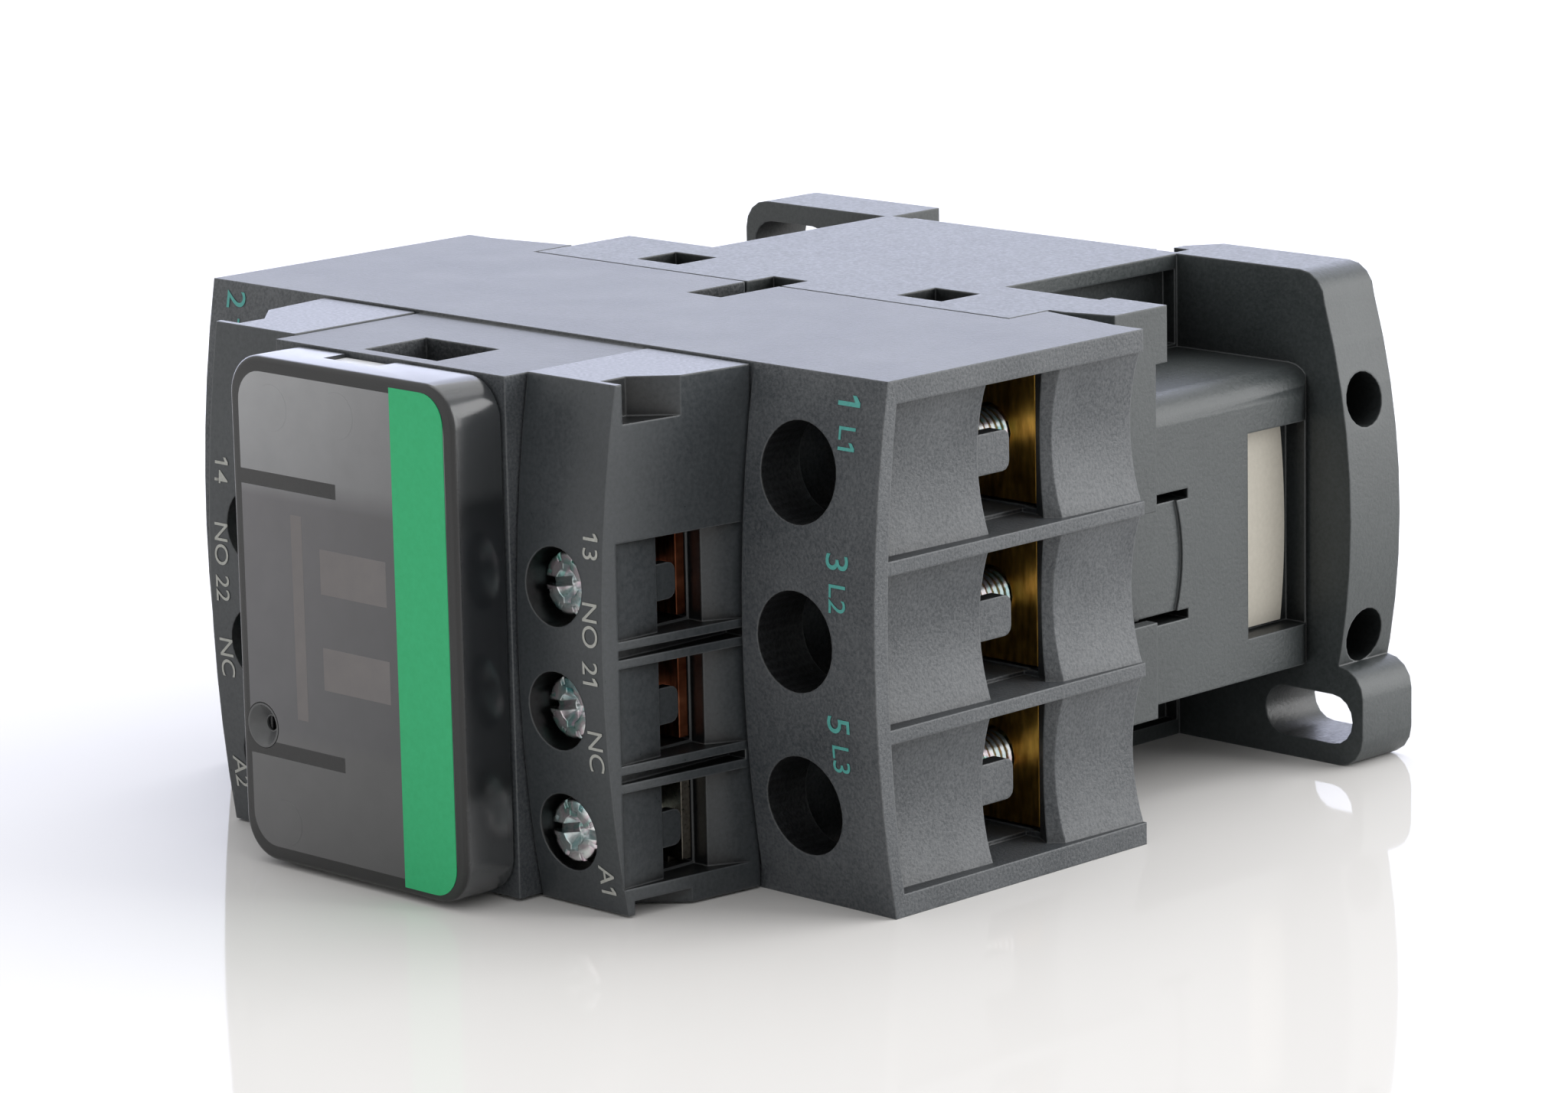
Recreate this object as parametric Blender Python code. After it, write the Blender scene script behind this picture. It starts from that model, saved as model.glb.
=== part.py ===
"""Three-pole power contactor for a 35 mm rail, lying on its right-hand side as a loose part does.

+X points to the line terminals (up once mounted), -Y to the front cover, +Y to the rail and +Z
through the width. The origin is the middle of the side it lies on. Lengths are in metres.
"""

from math import asin, cos, degrees, dist, pi, radians, sin

import bmesh
import bpy
from mathutils import Matrix, Vector

MM = 0.001
FIT = 0.3 * MM  # gap between pieces that seat on each other
SINK = 0.5 * MM  # how deep joined pieces run into each other
PAST = 2 * MM  # how far a cutter runs past the wall it opens

# Housing stack along Y, from the cover to the rear face
WIDTH = 45 * MM
HEIGHT = 84 * MM
COVER_DEPTH = 5.4 * MM
TOWER_DEPTH = 16.5 * MM
POWER_DEPTH = 28.1 * MM
FLANGE_DEPTH = 11.8 * MM
NECK_DEPTH = 23.2 * MM
PLATE_DEPTH = 7 * MM
DEPTH = COVER_DEPTH + TOWER_DEPTH + POWER_DEPTH + FLANGE_DEPTH + NECK_DEPTH + PLATE_DEPTH + 2 * FIT

MID = WIDTH / 2
HALF_HEIGHT = HEIGHT / 2
COVER_FRONT = -DEPTH / 2
COVER_BACK = COVER_FRONT + COVER_DEPTH
TOWER_FRONT = COVER_BACK + FIT
POWER_FRONT = TOWER_FRONT + TOWER_DEPTH
SEAM = POWER_FRONT + POWER_DEPTH
BASE_FRONT = SEAM + FIT
NECK_FRONT = BASE_FRONT + FLANGE_DEPTH
PLATE_FRONT = NECK_FRONT + NECK_DEPTH
REAR = PLATE_FRONT + PLATE_DEPTH

# Front housing
POWER_BULGE = 2.1 * MM
TOWER_HALF = 14.3 * MM
TOWER_INSET = 0.3 * MM
TOWER_WALL = 2 * MM
TOWER_FRONT_WALL = 1.2 * MM
INNER_WALL = 1.6 * MM
AUX_FLOOR = 8.8 * MM
LINK_HOLE_HALF = 4.6 * MM
LINK_HOLE_LONG = 7.1 * MM
LINK_HOLE_SETBACK = 1.4 * MM
CHEEK_INNER = 29.7 * MM
CHEEK_REACH = 4.9 * MM
CHEEK_OUTER_REACH = 3.3 * MM
CHEEK_BEND = 38.7 * MM
KEY_SLOT_HALF = 2.15 * MM
KEY_SLOT_DEEP = 1.4 * MM
KEY_SLOT_FORWARD = 7.3 * MM
KEY_SLOT_BACK = 3.4 * MM

# Power terminals, three along Z on each side
POLES = 3
SIDE_WALL = 1.35 * MM
POLE_PITCH = (WIDTH - 2 * SIDE_WALL) / POLES
FIN = 1.2 * MM
BAY_SAG = 1.15 * MM
BAY_BORDER = 1.6 * MM
BAY_RECESS_FRONT = 1.7 * MM
BAY_RECESS_REAR = 0.3 * MM
POWER_SCREW_X = 32.9 * MM
POWER_BORE = 8.6 * MM
FLAG_DEPTH = 13 * MM
TAB_LONG = 4 * MM
TAB_HALF = 1.75 * MM
TAB_ROUND = 0.8 * MM
TAB_THICK = 1.5 * MM
TAB_STEP = 0.1 * MM
BORE_DEPTH = 3.3 * MM
WELL_INNER = 27.6 * MM
WELL_OUTER = 37.2 * MM
WELL_LEDGE = 0.35 * MM
GAP_REAR_OUTER = 19.6 * MM
EDGE_BEVEL = 1.1 * MM
BAR_SETBACK = 21.9 * MM
BAR_THICK = 1.8 * MM
BAR_INNER = 17 * MM
BAR_SHOULDER = 27 * MM
BAR_OUTER = 38.2 * MM
TIP_INNER = 18 * MM
TIP_LONG = 4 * MM
TIP_THICK = 1.2 * MM
TIP_MARGIN = 0.9 * MM

# Terminal screws and the clamps they drive
POWER_THREAD = 4.4 * MM
POWER_HEAD = 7.2 * MM
POWER_HEAD_HIGH = 3 * MM
POWER_SHANK = 16.2 * MM
POWER_CLAMP_INNER = 28.2 * MM
POWER_CLAMP_OUTER = 36.8 * MM
POWER_CLAMP_THICK = 1.7 * MM
POWER_CLAMP_OPEN = 10.4 * MM
POWER_CLOSING = 4.9 * MM
CONTROL_THREAD = 3.3 * MM
CONTROL_HEAD = 5.4 * MM
CONTROL_HEAD_HIGH = 2.4 * MM
CONTROL_SHANK = 8.6 * MM
CONTROL_CLAMP_INNER = 16.2 * MM
CONTROL_CLAMP_OUTER = 22.8 * MM
CONTROL_CLAMP_HALF = 3.5 * MM
CONTROL_CLAMP_THICK = 1.1 * MM
CONTROL_CLAMP_OPEN = 4.6 * MM
CONTROL_CLOSING = 3 * MM
CLAMP_LIP = 0.7 * MM
SLOT_WIDE = 1.1 * MM
RECESS_SHARE = 0.45
CROSS_SHARE = 0.3

# Control terminal blocks, in front of the power terminals on both sides of the tower
CONTROL_INNER = 14.6 * MM
CONTROL_FRONT_X = 24.96 * MM
CONTROL_BACK_X = 26.53 * MM
CONTROL_SETBACK = 2.4 * MM
CONTROL_BULGE = 2.05 * MM
CONTROL_INSET = 0.2 * MM
CONTROL_SCREW_X = 19 * MM
CONTROL_BORE = 6.7 * MM
CONTROL_FIRST_Z = 6.6 * MM
CONTROL_PITCH = 10.5 * MM
CELL_HALF = 3.9 * MM
CELL_INNER = 15.9 * MM
CELL_OUTER = 23.4 * MM
CELL_SETBACK = 1.9 * MM
WINDOW_FLOOR = 24.7 * MM
WINDOW_SETBACK = 1.65 * MM
WINDOW_HALF = 4.1 * MM
CONTROL_FLAG = 4.7 * MM
CONTROL_TAB_LONG = 2.3 * MM
CONTROL_TAB_HALF = 1.55 * MM
RAMP_LONG = 3.4 * MM
RAMP_DEEP = 1.3 * MM
RIB_GROOVE = 0.8 * MM
STRIP_SETBACK = 5.8 * MM
STRIP_THICK = 1 * MM
STRIP_HALF = 3.5 * MM
STRIP_OUTER = 23.2 * MM
CLIP_HIGH = 3.3 * MM
CLIP_LOW = 1.2 * MM
CLIP_LONG = 6 * MM
CLIP_DEEP = 2.4 * MM
CLIP_FLAT = 2.8 * MM
CLIP_SETBACK = 0.6 * MM

# Moving contacts
TRAVEL = 5 * MM
CHAMBER_HALF_X = 26 * MM
CHAMBER_WALL = 3.7 * MM
SHAFT_HALF = 5.4 * MM
SHAFT_END = 3.2 * MM
BRIDGE_THICK = 1.6 * MM
BRIDGE_TIP = 1 * MM
BRIDGE_HALF_X = 22.6 * MM
BRIDGE_ROOM = 0.4 * MM
CARRIER_HALF = 4.9 * MM
CARRIER_FRONT_BAR = 1.6 * MM
CARRIER_RIB = 4.9 * MM
CARRIER_REAR_BAR = 7.4 * MM
TONGUE_HALF = 3.2 * MM
TONGUE_LONG = 4.5 * MM
PIN_RADIUS = 1.5 * MM
NOSE_HALF = 3.6 * MM
NOSE_LOW = MID - 10.5 * MM
NOSE_HIGH = MID + 10.5 * MM
NOSE_RECESS = 0.6 * MM
AUX_BRIDGE_HALF_X = 9.8 * MM
AUX_BRIDGE_HALF_Z = 1.8 * MM
AUX_BRIDGE_THICK = 0.8 * MM
AUX_SPRING_ROOM = 2 * MM
AUX_TAIL_HALF = 1.5 * MM
AUX_TAIL_INNER = 6.8 * MM
AUX_TIP_LONG = 3 * MM
AUX_TIP_THICK = 0.6 * MM

# Magnet: a laminated core in the base and an armature that follows the contact carrier
STACK_HALF = 14 * MM
CORE_LOW = 2.9 * MM
OUTER_LEG = 5.5 * MM
CENTRE_LEG = 11 * MM
ARMATURE_YOKE = 6.7 * MM
ARMATURE_LEG = 6 * MM
CORE_LEG = 14.7 * MM
CORE_YOKE = 6.3 * MM
BOBBIN_WALL = 1 * MM
BOBBIN_FLANGE = 1.5 * MM
BOBBIN_LONG = 17.9 * MM
BOBBIN_HALF_X = 27 * MM
BOBBIN_HALF_Z = 11.7 * MM
BOBBIN_ROUND = 2 * MM
WINDING_HALF_X = 26.4 * MM
WINDING_HALF_Z = 11.2 * MM
WINDING_ROUND = 4 * MM
LEAD_X = 19.5 * MM
LEAD_HALF = 2 * MM
LEAD_LOW = 1.3 * MM
LEAD_THICK = 0.7 * MM

# Base: collar, flange, neck with the coil box, and the rear plate
FLANGE_HALF = 35.76 * MM
FLANGE_FACE = 31 * MM
FLANGE_LOW = 8.5 * MM
FLANGE_CHAMFER = 1.3 * MM
FLANGE_LIP = 1.5 * MM
FLANGE_LIP_HIGH = 5 * MM
CATCH_LOW = 17.1 * MM
CATCH_HIGH = 27 * MM
NECK_HALF = 18.27 * MM
NECK_SLAB = 1.4 * MM
NECK_RELIEF = 1.4 * MM
BOX_HALF = 34 * MM
BOX_LOW = 9.1 * MM
BOX_HIGH = 36.4 * MM
BOX_ROUND = 1.6 * MM
BOX_EDGE = 2.5 * MM
SNAP_INNER = 13.67 * MM
SNAP_WIDE = 5.36 * MM
SNAP_LONG = 5 * MM
SNAP_SETBACK = 2.7 * MM
SNAP_DEEP = 2 * MM
CATCH_SLOT = 0.9 * MM
CATCH_SLOT_DEEP = 4 * MM
CATCH_REACH = 6.2 * MM
CATCH_RECESS = 0.3 * MM
CATCH_ARC = 5.5 * MM
CATCH_BOW = 0.8 * MM
LABEL_LOW = 12.8 * MM
LABEL_HIGH = 31.5 * MM
LABEL_LONG = 8.4 * MM
LABEL_MARGIN = 0.4 * MM
LABEL_SHORT = 1.3 * MM
LABEL_DEEP = 2.6 * MM
LABEL_THICK = 0.6 * MM
PLATE_HALF = 35.6 * MM
PLATE_BULGE = 3 * MM
PLATE_CORNER = 2.8 * MM
EAR_OUTER = {1: 40 * MM, -1: 37 * MM}
EAR_HIGH = 9.2 * MM
EAR_ROUND = 2.8 * MM
EAR_SLOT_Z = 4.2 * MM
EAR_SLOT_LONG = 5.5 * MM
EAR_SLOT_WIDE = 4.6 * MM
EAR_SLOT_WALL = 1.2 * MM
RIM_HOLE = 5 * MM
RIM_HOLE_DEEP = 8 * MM
RIM_HOLE_OFFSET = 10.8 * MM
RIM_HOLE_SETBACK = 3 * MM
RIM_BREAK = 5 * MM
RIM_BREAK_LOW = 3.3 * MM
RIM_BREAK_HIGH = 1.3 * MM

# Rail seat for a 35 mm top-hat rail, and the sprung latch that holds it
RAIL_WIDE = 35 * MM
RAIL_CLEARANCE = 0.25 * MM
RAIL_SLOT_DEEP = 6.2 * MM
RAIL_GRIP = 1.6 * MM
RAIL_LIP = 1.85 * MM
RAIL_LIP_THICK = 1.5 * MM
RAIL_LAND = 0.3 * MM
RAIL_LAND_HALF = 15.2 * MM
LATCH_HALF = 6 * MM
LATCH_THICK = 3.1 * MM
LATCH_OUTER = 40.6 * MM
LATCH_NOSE = 15.9 * MM
LATCH_BEVEL = 2 * MM
LATCH_LEDGE = 1.2 * MM
LATCH_WINDOW_HALF = 3 * MM
LATCH_WINDOW_INNER = 23.2 * MM
LATCH_SPRING_ROOM = 8.2 * MM
LATCH_POST = 2.3 * MM
LATCH_EYE = 2 * MM
LATCH_EYE_HALF = 2.5 * MM
LATCH_EYE_INSET = 1.1 * MM

# Cover
COVER_HALF = 14 * MM
COVER_INSET = 0.5 * MM
COVER_ROUND = 3.6 * MM
COVER_WALL = 1.3 * MM
COVER_EDGE = 1.2 * MM
LEG_X = 9 * MM
LEG_THICK = 1.4 * MM
LEG_HALF = 2 * MM
LEG_LONG = 3.4 * MM
SEAL_HOLE = 1.3 * MM
SEAL_SINK = 3.6 * MM
SEAL_SINK_DEEP = 0.8 * MM
SEAL_X = -11.3 * MM
SEAL_Z = 12.3 * MM

# Springs: outer diameter, wire and turns
CONTACT_SPRING = (6.4 * MM, 0.8 * MM, 4)
RETURN_SPRING = (6.6 * MM, 0.6 * MM, 3)
LATCH_SPRING = (2.8 * MM, 0.5 * MM, 6)
CURL_POINTS = 9

# Places that follow from the sizes above
POLE_Z = [MID + (1 - n) * POLE_PITCH for n in range(POLES)]
BAY_HALF = (POLE_PITCH - FIN) / 2
BAY_RADIUS = (BAY_HALF**2 + BAY_SAG**2) / (2 * BAY_SAG)
WELL_HALF = BAY_HALF - WELL_LEDGE
BAR_HALF = WELL_HALF - 1.5 * FIT
POWER_CLAMP_HALF = WELL_HALF - 2 * FIT
CHAMBER_HALF_Z = (POLE_PITCH - CHAMBER_WALL) / 2
BAR_TAIL_HALF = CHAMBER_HALF_Z - 2 * FIT
TIP_HALF = BAR_TAIL_HALF - TIP_MARGIN
CARRIER_WINDOW_HALF = (POLE_PITCH - CARRIER_RIB) / 2
BRIDGE_HALF_Z = CARRIER_WINDOW_HALF - BRIDGE_ROOM
BAY_START = POWER_FRONT - POWER_BULGE
BAY_END = SEAM + CHEEK_REACH + SINK
BAR_FRONT = POWER_FRONT + BAR_SETBACK
BAR_BACK = BAR_FRONT + BAR_THICK
TIP_FACE = BAR_FRONT - TIP_THICK
FLAG_END = POWER_FRONT + FLAG_DEPTH
GAP_BACK = BAR_FRONT - FIT
WELL_FRONT = POWER_FRONT + BORE_DEPTH
POWER_SEAT = BAR_FRONT - POWER_CLAMP_OPEN
CONTROL_FRONT = TOWER_FRONT + CONTROL_SETBACK
CONTROL_BACK = POWER_FRONT - FIT
COIL_Z = CONTROL_FIRST_Z
NC_Z = COIL_Z + CONTROL_PITCH
NO_Z = NC_Z + CONTROL_PITCH
CONTROL_Z = (NO_Z, NC_Z, COIL_Z)
STRIP_FRONT = CONTROL_BACK - STRIP_SETBACK
STRIP_BACK = STRIP_FRONT + STRIP_THICK
CELL_FRONT = CONTROL_FRONT + CELL_SETBACK
CELL_BACK = STRIP_BACK + FIT
WINDOW_FRONT = CONTROL_FRONT - CONTROL_BULGE + WINDOW_SETBACK
WINDOW_BACK = CELL_BACK + FIT / 2
CONTROL_FLAG_END = WINDOW_FRONT + CONTROL_FLAG
CONTROL_SEAT = STRIP_FRONT - CONTROL_CLAMP_OPEN
CONTACT_GAP = TRAVEL + FIT
NO_BACK = STRIP_FRONT - AUX_TIP_THICK - CONTACT_GAP
NC_FRONT = STRIP_BACK + AUX_TIP_THICK + FIT
AUX_START = TOWER_FRONT + TOWER_FRONT_WALL
AUX_END = NC_FRONT + AUX_BRIDGE_THICK + CONTACT_GAP
CHAMBER_FRONT = AUX_END + INNER_WALL
BRIDGE_BACK = TIP_FACE - CONTACT_GAP - BRIDGE_TIP
BRIDGE_FRONT = BRIDGE_BACK - BRIDGE_THICK
CARRIER_FRONT = CHAMBER_FRONT + 2 * FIT
CARRIER_WINDOW_FRONT = CARRIER_FRONT + CARRIER_FRONT_BAR
CARRIER_WINDOW_BACK = BRIDGE_BACK + FIT
CARRIER_BACK = CARRIER_WINDOW_BACK + CARRIER_REAR_BAR
ARMATURE_FRONT = CARRIER_BACK + FIT
ARMATURE_BACK = ARMATURE_FRONT + ARMATURE_YOKE
ARMATURE_FACE = ARMATURE_BACK + ARMATURE_LEG
TONGUE_END = ARMATURE_FRONT + TONGUE_LONG
PIN_Y = ARMATURE_FRONT + TONGUE_LONG / 2
CORE_FACE = ARMATURE_FACE + CONTACT_GAP
CORE_INNER = CORE_FACE + CORE_LEG
CORE_BACK = CORE_INNER + CORE_YOKE
BOBBIN_BACK = CORE_INNER - FIT
BOBBIN_FRONT = BOBBIN_BACK - BOBBIN_LONG
LEAD_HIGH = LEAD_LOW + LEAD_THICK
RAIL_SEAT = REAR - RAIL_SLOT_DEEP
RAIL_HALF = RAIL_WIDE / 2 + RAIL_CLEARANCE
LATCH_FRONT = RAIL_SEAT + RAIL_GRIP + FIT / 2
LATCH_BACK = LATCH_FRONT + LATCH_THICK
LATCH_POST_INNER = LATCH_WINDOW_INNER + LATCH_SPRING_ROOM

SIDES = ((1, "L", ("13", "21", "A1")), (-1, "T", ("14", "22", "A2")))

parts = bpy.data.collections.new("contactor")
cutters = bpy.data.collections.new("cutters")
materials = {}


def clear_scene():
    for old in list(bpy.data.objects):
        bpy.data.objects.remove(old, do_unlink=True)
    bpy.context.scene.collection.children.link(parts)
    bpy.context.scene.collection.children.link(cutters)


def add_material(name, colour, roughness, metallic=0.0):
    material = bpy.data.materials.new(name)
    material.use_nodes = True
    shader = material.node_tree.nodes["Principled BSDF"]
    shader.inputs["Base Color"].default_value = (*colour, 1)
    shader.inputs["Roughness"].default_value = roughness
    shader.inputs["Metallic"].default_value = metallic
    material.diffuse_color = (*colour, 1)
    materials[name] = material


def helper_object(name, bm):
    """A closed mesh as an object that is still a helper: drawn as wire and left out of renders."""
    bmesh.ops.recalc_face_normals(bm, faces=bm.faces)
    mesh = bpy.data.meshes.new(name)
    bm.to_mesh(mesh)
    bm.free()
    helper = bpy.data.objects.new(name, mesh)
    helper.hide_render = True
    helper.display_type = "WIRE"
    cutters.objects.link(helper)
    return helper


def block(xs, ys, zs):
    """A box between two values on each axis, given in either order."""
    bm = bmesh.new()
    bmesh.ops.create_cube(bm, size=1)
    size = [abs(b - a) for a, b in (xs, ys, zs)]
    middle = [(a + b) / 2 for a, b in (xs, ys, zs)]
    bmesh.ops.transform(bm, matrix=Matrix.LocRotScale(middle, None, size), verts=bm.verts)
    return helper_object("block", bm)


def prism(axis, outline, ends, shift=(0, 0)):
    """Extrude an outline, drawn in (y, z), (x, z) or (x, y), along the axis across it.

    A shift moves the far end sideways, which makes the prism oblique.
    """
    across = {"X": (1, 2), "Y": (0, 2), "Z": (0, 1)}[axis]
    low, high = ends
    along = Vector((0, 0, 0))
    along["XYZ".index(axis)] = high - low
    start = Vector((0, 0, 0))
    start["XYZ".index(axis)] = low
    for place, offset in zip(across, shift):
        along[place] = offset
    bm = bmesh.new()
    corners = []
    for a, b in outline:
        corner = start.copy()
        corner[across[0]] = a
        corner[across[1]] = b
        corners.append(bm.verts.new(corner))
    face = bm.faces.new(corners)
    grown = bmesh.ops.extrude_face_region(bm, geom=[face])["geom"]
    moved = [item for item in grown if isinstance(item, bmesh.types.BMVert)]
    bmesh.ops.translate(bm, verts=moved, vec=along)
    return helper_object("prism", bm)


def rod(axis, centre, ends, radius, sides=20, end_radius=None):
    """A round bar or cone along X or Y. The centre holds the other two coordinates in order."""
    low, high = ends
    bm = bmesh.new()
    bmesh.ops.create_cone(
        bm,
        cap_ends=True,
        segments=sides,
        radius1=radius,
        radius2=radius if end_radius is None else end_radius,
        depth=high - low,
    )
    a, b = centre
    middle = (low + high) / 2
    if axis == "X":
        place = Matrix.Translation((middle, a, b)) @ Matrix.Rotation(radians(90), 4, "Y")
    else:
        place = Matrix.Translation((a, middle, b)) @ Matrix.Rotation(radians(-90), 4, "X")
    bmesh.ops.transform(bm, matrix=place, verts=bm.verts)
    return helper_object("rod", bm)


def arc(centre, radius, start, end, steps):
    """Points on a circle from one angle to another, in degrees."""
    angles = [radians(start + (end - start) * n / steps) for n in range(steps + 1)]
    return [(centre[0] + radius * cos(a), centre[1] + radius * sin(a)) for a in angles]


def rounded(first, second, radius, steps=3):
    """A rectangle with round corners, between two values on each of its axes."""
    low_a, high_a = sorted(first)
    low_b, high_b = sorted(second)
    outline = []
    for n, (a, b) in enumerate(
        (
            (high_a - radius, high_b - radius),
            (low_a + radius, high_b - radius),
            (low_a + radius, low_b + radius),
            (high_a - radius, low_b + radius),
        )
    ):
        outline += arc((a, b), radius, 90 * n, 90 * (n + 1), steps)
    return outline


def bowed(level, bulge, low, high, steps=10):
    """A shallow arc that bulges towards minus from a level, drawn from low to high."""
    half = (high - low) / 2
    radius = (half**2 + bulge**2) / (2 * bulge)
    reach = degrees(asin(half / radius))
    centre = (level - bulge + radius, (low + high) / 2)
    return arc(centre, radius, 180 + reach, 180 - reach, steps)


def sided(side, outline):
    return [(side * x, other) for x, other in outline]


def mirrored(outline):
    """A closed outline from its right half."""
    return outline + [(-x, other) for x, other in reversed(outline)]


def turned(side, *levels):
    """Heights on the line side. The load side is the same turned half round."""
    return levels if side > 0 else tuple(WIDTH - z for z in levels)


def combine(part, operation, pieces):
    """One Boolean with a group of helpers."""
    group = bpy.data.collections.new("group")
    cutters.children.link(group)
    for piece in pieces:
        cutters.objects.unlink(piece)
        group.objects.link(piece)
    boolean = part.modifiers.new(operation.title(), "BOOLEAN")
    boolean.operation = operation
    boolean.operand_type = "COLLECTION"
    boolean.collection = group
    boolean.solver = "EXACT"


def apply_cuts(part):
    """Fix the part's Booleans in its mesh."""
    graph = bpy.context.evaluated_depsgraph_get()
    mesh = bpy.data.meshes.new_from_object(part.evaluated_get(graph))
    groups = [modifier.collection for modifier in part.modifiers]
    part.modifiers.clear()
    part.data = mesh
    for group in groups:
        for helper in list(group.objects):
            bpy.data.objects.remove(helper, do_unlink=True)
        bpy.data.collections.remove(group)


def finish(part, name, material):
    """Turn a helper into a part of the object."""
    part.name = name
    part.hide_render = False
    part.display_type = "TEXTURED"
    for group in list(part.users_collection):
        group.objects.unlink(part)
    parts.objects.link(part)
    part.data.materials.clear()
    part.data.materials.append(materials[material])


def place_copies(part, places, material):
    """Put one mesh at several named places, each copy an object of its own."""
    apply_cuts(part)
    part.data.materials.clear()
    part.data.materials.append(materials[material])
    for name, place in places.items():
        copy = bpy.data.objects.new(name, part.data)
        copy.location = place
        parts.objects.link(copy)
    bpy.data.objects.remove(part, do_unlink=True)


def coil_spring(name, start, end, sizes):
    """A compression spring between two points, one unbroken tube."""
    outer, wire, turns = sizes
    start, end = Vector(start), Vector(end)
    along = (end - start).normalized()
    across = along.orthogonal().normalized()
    beside = along.cross(across)
    first = start + along * wire / 2
    rise = ((end - start).length - wire) / (turns * CURL_POINTS)
    radius = (outer - wire) / 2
    points = []
    for n in range(turns * CURL_POINTS + 1):
        angle = 2 * pi * n / CURL_POINTS
        spoke = across * cos(angle) + beside * sin(angle)
        points.append(first + along * rise * n + spoke * radius)
    gap = min(dist(a, b) for a, b in zip(points, points[CURL_POINTS:])) - wire
    print(f"{name}: least gap between curls {gap / MM:.2f} mm")
    curve = bpy.data.curves.new(name, "CURVE")
    curve.dimensions = "3D"
    curve.bevel_depth = wire / 2
    curve.bevel_resolution = 1
    curve.use_fill_caps = True
    spline = curve.splines.new("POLY")
    spline.points.add(len(points) - 1)
    for point, place in zip(spline.points, points):
        point.co = (*place, 1)
    curve.materials.append(materials["spring steel"])
    parts.objects.link(bpy.data.objects.new(name, curve))


def bay_face(y):
    """How far out the edges of a terminal trough lie: it runs out towards the rear."""
    share = (y - BAY_START) / (BAY_END - BAY_START)
    return HALF_HEIGHT - BAY_RECESS_FRONT + (BAY_RECESS_FRONT - BAY_RECESS_REAR) * share


def trough(side, z, ends, faces):
    """A hollow cut along Y whose curved floor goes from one distance out to another."""
    reach = degrees(asin(BAY_HALF / BAY_RADIUS))
    centre = (faces[0] - BAY_SAG + BAY_RADIUS, z)
    floor = arc(centre, BAY_RADIUS, 180 + reach, 180 - reach, 12)
    far = HALF_HEIGHT + 2 * PAST
    outline = [(far, z - BAY_HALF)] + floor + [(far, z + BAY_HALF)]
    return prism("Y", sided(side, outline), ends, (side * (faces[1] - faces[0]), 0))


def bay_cutters(side, z):
    """What opens one power terminal: wire gap, screw well, bore, seat of the bar and thread."""
    slope = (GAP_BACK - POWER_FRONT - GAP_REAR_OUTER) / (HALF_HEIGHT - BAR_OUTER - FIT)
    far = HALF_HEIGHT + PAST
    gap = [
        (WELL_OUTER - FIT, FLAG_END),
        (far, FLAG_END),
        (far, POWER_FRONT + GAP_REAR_OUTER - slope * PAST),
        (BAR_OUTER + FIT, GAP_BACK),
        (WELL_OUTER - FIT, GAP_BACK),
    ]
    edge = POWER_FRONT + GAP_REAR_OUTER + slope * (HALF_HEIGHT - bay_face(GAP_BACK) + BAY_SAG)
    bevel_end = edge + EDGE_BEVEL
    bevel_start = edge - PAST
    bevel = (bay_face(bevel_end) + bevel_start - bevel_end, bay_face(bevel_end) + SINK)
    screw = (side * POWER_SCREW_X, z)
    thread_end = POWER_SEAT - POWER_CLAMP_THICK - FIT + POWER_SHANK + POWER_CLOSING + 2 * FIT
    return [
        prism("Z", sided(side, gap), (z - BAY_HALF, z + BAY_HALF)),
        trough(side, z, (bevel_start, bevel_end + SINK), bevel),
        block(
            (side * WELL_INNER, side * WELL_OUTER),
            (WELL_FRONT, GAP_BACK + SINK),
            (z - WELL_HALF, z + WELL_HALF),
        ),
        block(
            (side * (CHAMBER_HALF_X - SINK), side * (BAR_OUTER + FIT)),
            (GAP_BACK, BAR_BACK + FIT),
            (z - BAR_HALF - FIT, z + BAR_HALF + FIT),
        ),
        rod("Y", screw, (BAY_START - PAST, WELL_FRONT + SINK), POWER_BORE / 2, 32),
        rod("Y", screw, (BAR_BACK, thread_end), POWER_THREAD / 2 + FIT, 12),
    ]


def bay_tab(side, z):
    """The tongue in the wire gap that keeps strands away from the screw."""
    outline = rounded((FLAG_END - PAST, FLAG_END + TAB_LONG), (z - TAB_HALF, z + TAB_HALF), TAB_ROUND)
    outer = bay_face(FLAG_END) - BAY_SAG - TAB_STEP
    return prism("X", outline, (side * (outer - TAB_THICK), side * outer))


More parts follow.
